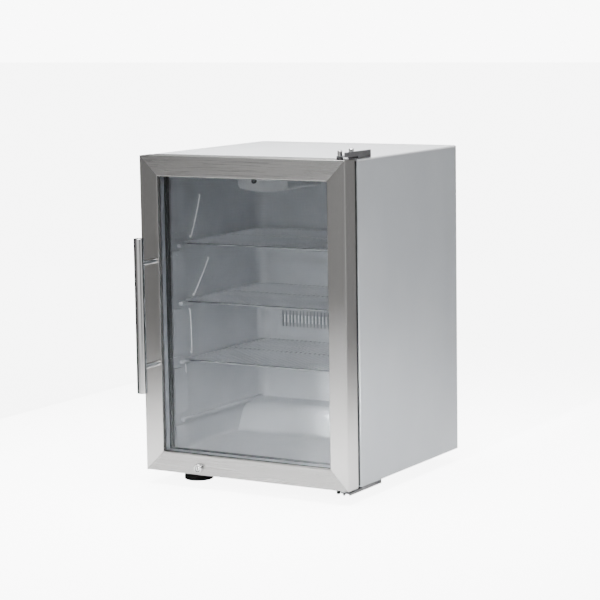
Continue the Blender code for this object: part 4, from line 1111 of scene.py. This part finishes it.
foot = {
    "sole": [(0.0, 0.0006), (0.0240, 0.0006), (0.0250, 0.0), (0.0300, 0.0)],
    "rim": (0.0295, 0.0020), "wall": (0.0315, 0.0086),
    "dome": [(0.0309, 0.0100), (0.0290, 0.0118), (0.0270, 0.0126), (0.0110, 0.0148), (0.0090, 0.0156)],
    "nut": [(0.0080, 0.0172), (0.0080, 0.0238), (0.0074, 0.0243)],
    "stem": 0.0052, "stemStart": 0.0245, "stemTip": 0.0044,
}
centre, turn = foot["rim"]
lowerFoot = foot["sole"] + arcPoints(centre, turn, turn, 290, 360, 4)
lowerFoot += [foot["wall"]] + foot["dome"] + foot["nut"]
for place in ("front_left", "front_right", "rear_left", "rear_right"):
    node = "foot_" + place
    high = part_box(node)[1]
    at = centreOf(node)
    profile = lowerFoot + [(foot["stem"], foot["stemStart"]), (foot["stem"], high.z - 0.001)]
    profile += [(foot["stemTip"], high.z), (0.0, high.z)]
    bm = bmesh.new()
    addTurned(bm, profile, (at.x, at.y, 0), (0, 0, 1), 56)
    name = "foot" + place.title().replace("_", "")
    finishPiece(makeObject(name, bm), footRubber, place + "_foot", "black_plastic", node)
print("feet done")


# CAD parts that keep their shape

keeps = {
    "base_pan": zinc, "insulation_foam": foam, "thermostat_body": darkPlastic, "led_board": palePlastic,
    "evaporator": zinc, "evaporator_fan": darkPlastic, "evaporator_fan_motor": darkPlastic,
    "compressor": darkPaint, "compressor_cradle": zinc, "relay_box": darkPlastic, "condenser": darkPaint,
    "condenser_fan": darkPlastic, "condenser_fan_motor": darkPaint, "discharge_pipe": copper,
    "suction_pipe": copper, "liquid_line": copper, "drain_tube": rubber, "evaporation_tray": palePlastic,
    "power_inlet": darkPlastic, "lock_cam": zinc, "lock_keeper": zinc,
}
for node, material in keeps.items():
    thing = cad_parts[node]
    for holder in thing.material_slots:
        holder.material = material
print("kept parts done:", len(keeps))


# Studio

studio = {
    "floorHalf": 30, "floorTone": 0.82, "floorGlow": 7.0, "backdropGlow": 9.0,
    "skyLow": 0.07, "skyHigh": 0.42, "skyStops": (0.02, 0.9),
    "darkCard": ((-1.02, -1.1, 0.001), (-1.0, 0.9, 1.4)),
}
bm = bmesh.new()
bmesh.ops.create_grid(bm, x_segments=12, y_segments=12, size=studio["floorHalf"])
floor = makeObject("floor", bm)
material = bpy.data.materials.new("paleFloor")
material.use_nodes = True
tree = material.node_tree
shader = tree.nodes["Principled BSDF"]
shader.inputs["Base Color"].default_value = (*[studio["floorTone"]] * 3, 1.0)
shader.inputs["Roughness"].default_value = 0.9
shader.inputs["Specular IOR Level"].default_value = 0.0
glow = tree.nodes.new("ShaderNodeEmission")
glow.inputs["Strength"].default_value = studio["floorGlow"]
path = tree.nodes.new("ShaderNodeLightPath")
seen = tree.nodes.new("ShaderNodeMixShader")
both = tree.nodes.new("ShaderNodeAddShader")
dark = tree.nodes.new("ShaderNodeEmission")
dark.inputs["Strength"].default_value = 0.0
tree.links.new(path.outputs["Is Camera Ray"], seen.inputs[0])
tree.links.new(dark.outputs[0], seen.inputs[1])
tree.links.new(glow.outputs[0], seen.inputs[2])
tree.links.new(shader.outputs[0], both.inputs[0])
tree.links.new(seen.outputs[0], both.inputs[1])
tree.links.new(both.outputs[0], tree.nodes["Material Output"].inputs["Surface"])
floor.data.materials.append(material)

# a dark card out of view on the left gives the handle its dark edge
bm = bmesh.new()
addBox(bm, *studio["darkCard"])
card = makeObject("darkCard", bm)
card.data.materials.append(rubber)
card.visible_camera = False

world = bpy.data.worlds.new("studio")
bpy.context.scene.world = world
world.use_nodes = True
tree = world.node_tree
backdrop = tree.nodes["Background"]
sky = tree.nodes.new("ShaderNodeBackground")
sky.inputs["Strength"].default_value = 1.0
coord = tree.nodes.new("ShaderNodeTexCoord")
split = tree.nodes.new("ShaderNodeSeparateXYZ")
ramp = tree.nodes.new("ShaderNodeValToRGB")
tones = (studio["skyLow"], studio["skyHigh"])
for stop, place, tone in zip(ramp.color_ramp.elements, studio["skyStops"], tones):
    stop.position = place
    stop.color = (tone, tone, tone, 1.0)
tree.links.new(coord.outputs["Generated"], split.inputs[0])
tree.links.new(split.outputs["Z"], ramp.inputs[0])
tree.links.new(ramp.outputs[0], sky.inputs["Color"])
backdrop.inputs["Color"].default_value = (1.0, 1.0, 1.0, 1.0)
backdrop.inputs["Strength"].default_value = studio["backdropGlow"]
path = tree.nodes.new("ShaderNodeLightPath")
pick = tree.nodes.new("ShaderNodeMixShader")
tree.links.new(path.outputs["Is Camera Ray"], pick.inputs[0])
tree.links.new(sky.outputs[0], pick.inputs[1])
tree.links.new(backdrop.outputs[0], pick.inputs[2])
tree.links.new(pick.outputs[0], tree.nodes["World Output"].inputs["Surface"])


def addSoftbox(name, at, target, size, watts, spread=180):
    lamp = bpy.data.lights.new(name, "AREA")
    lamp.shape = "RECTANGLE"
    lamp.size, lamp.size_y = size
    lamp.energy = watts
    lamp.spread = math.radians(spread)
    holder = bpy.data.objects.new(name, lamp)
    holder.location = at
    holder.rotation_euler = (Vector(target) - Vector(at)).to_track_quat("-Z", "Y").to_euler()
    holder.visible_camera = False
    bpy.context.scene.collection.objects.link(holder)


# name, place, aim, size, power, spread
addSoftbox("overhead", (0.0, -0.2, 2.2), (0.0, -0.2, 0), (1.6, 1.6), 48, 75)
addSoftbox("rightPanel", (1.45, 0.0, 0.80), (0, 0.0, 0.70), (1.6, 1.55), 4.4)
addSoftbox("frontPanel", (0.19, -1.75, 0.78), (-0.21, -0.27, 0.70), (1.4, 1.5), 4.5)
addSoftbox("frontKey", (0.9, -2.4, 1.5), (0.03, 0.05, 0.06), (0.35, 0.35), 1.2, 18)
addSoftbox("rearCard", (-2.4, 3.2, 1.0), (0, 0, 0.7), (2.4, 1.0), 9)
addSoftbox("lowPatch", (0.30, -2.4, 0.55), (0.17, 0.2, 0.17), (0.10, 0.10), 2.5, 9)

# Camera, its turn, dip and roll in degrees
view = {"at": (2.3842, -3.9808, 1.0159), "turn": 30.774, "dip": 7.736, "roll": -0.892, "lens": 129.84}
lens = bpy.data.cameras.new("camera")
lens.lens = view["lens"]
lens.sensor_width = 36
lens.clip_end = 200
camera = bpy.data.objects.new("camera", lens)
turn = Matrix.Rotation(math.radians(view["turn"]), 4, "Z")
dip = Matrix.Rotation(math.radians(90 - view["dip"]), 4, "X")
roll = Matrix.Rotation(math.radians(view["roll"]), 4, "Z")
camera.matrix_world = Matrix.Translation(view["at"]) @ turn @ dip @ roll
bpy.context.scene.collection.objects.link(camera)
bpy.context.scene.camera = camera
print("studio done")
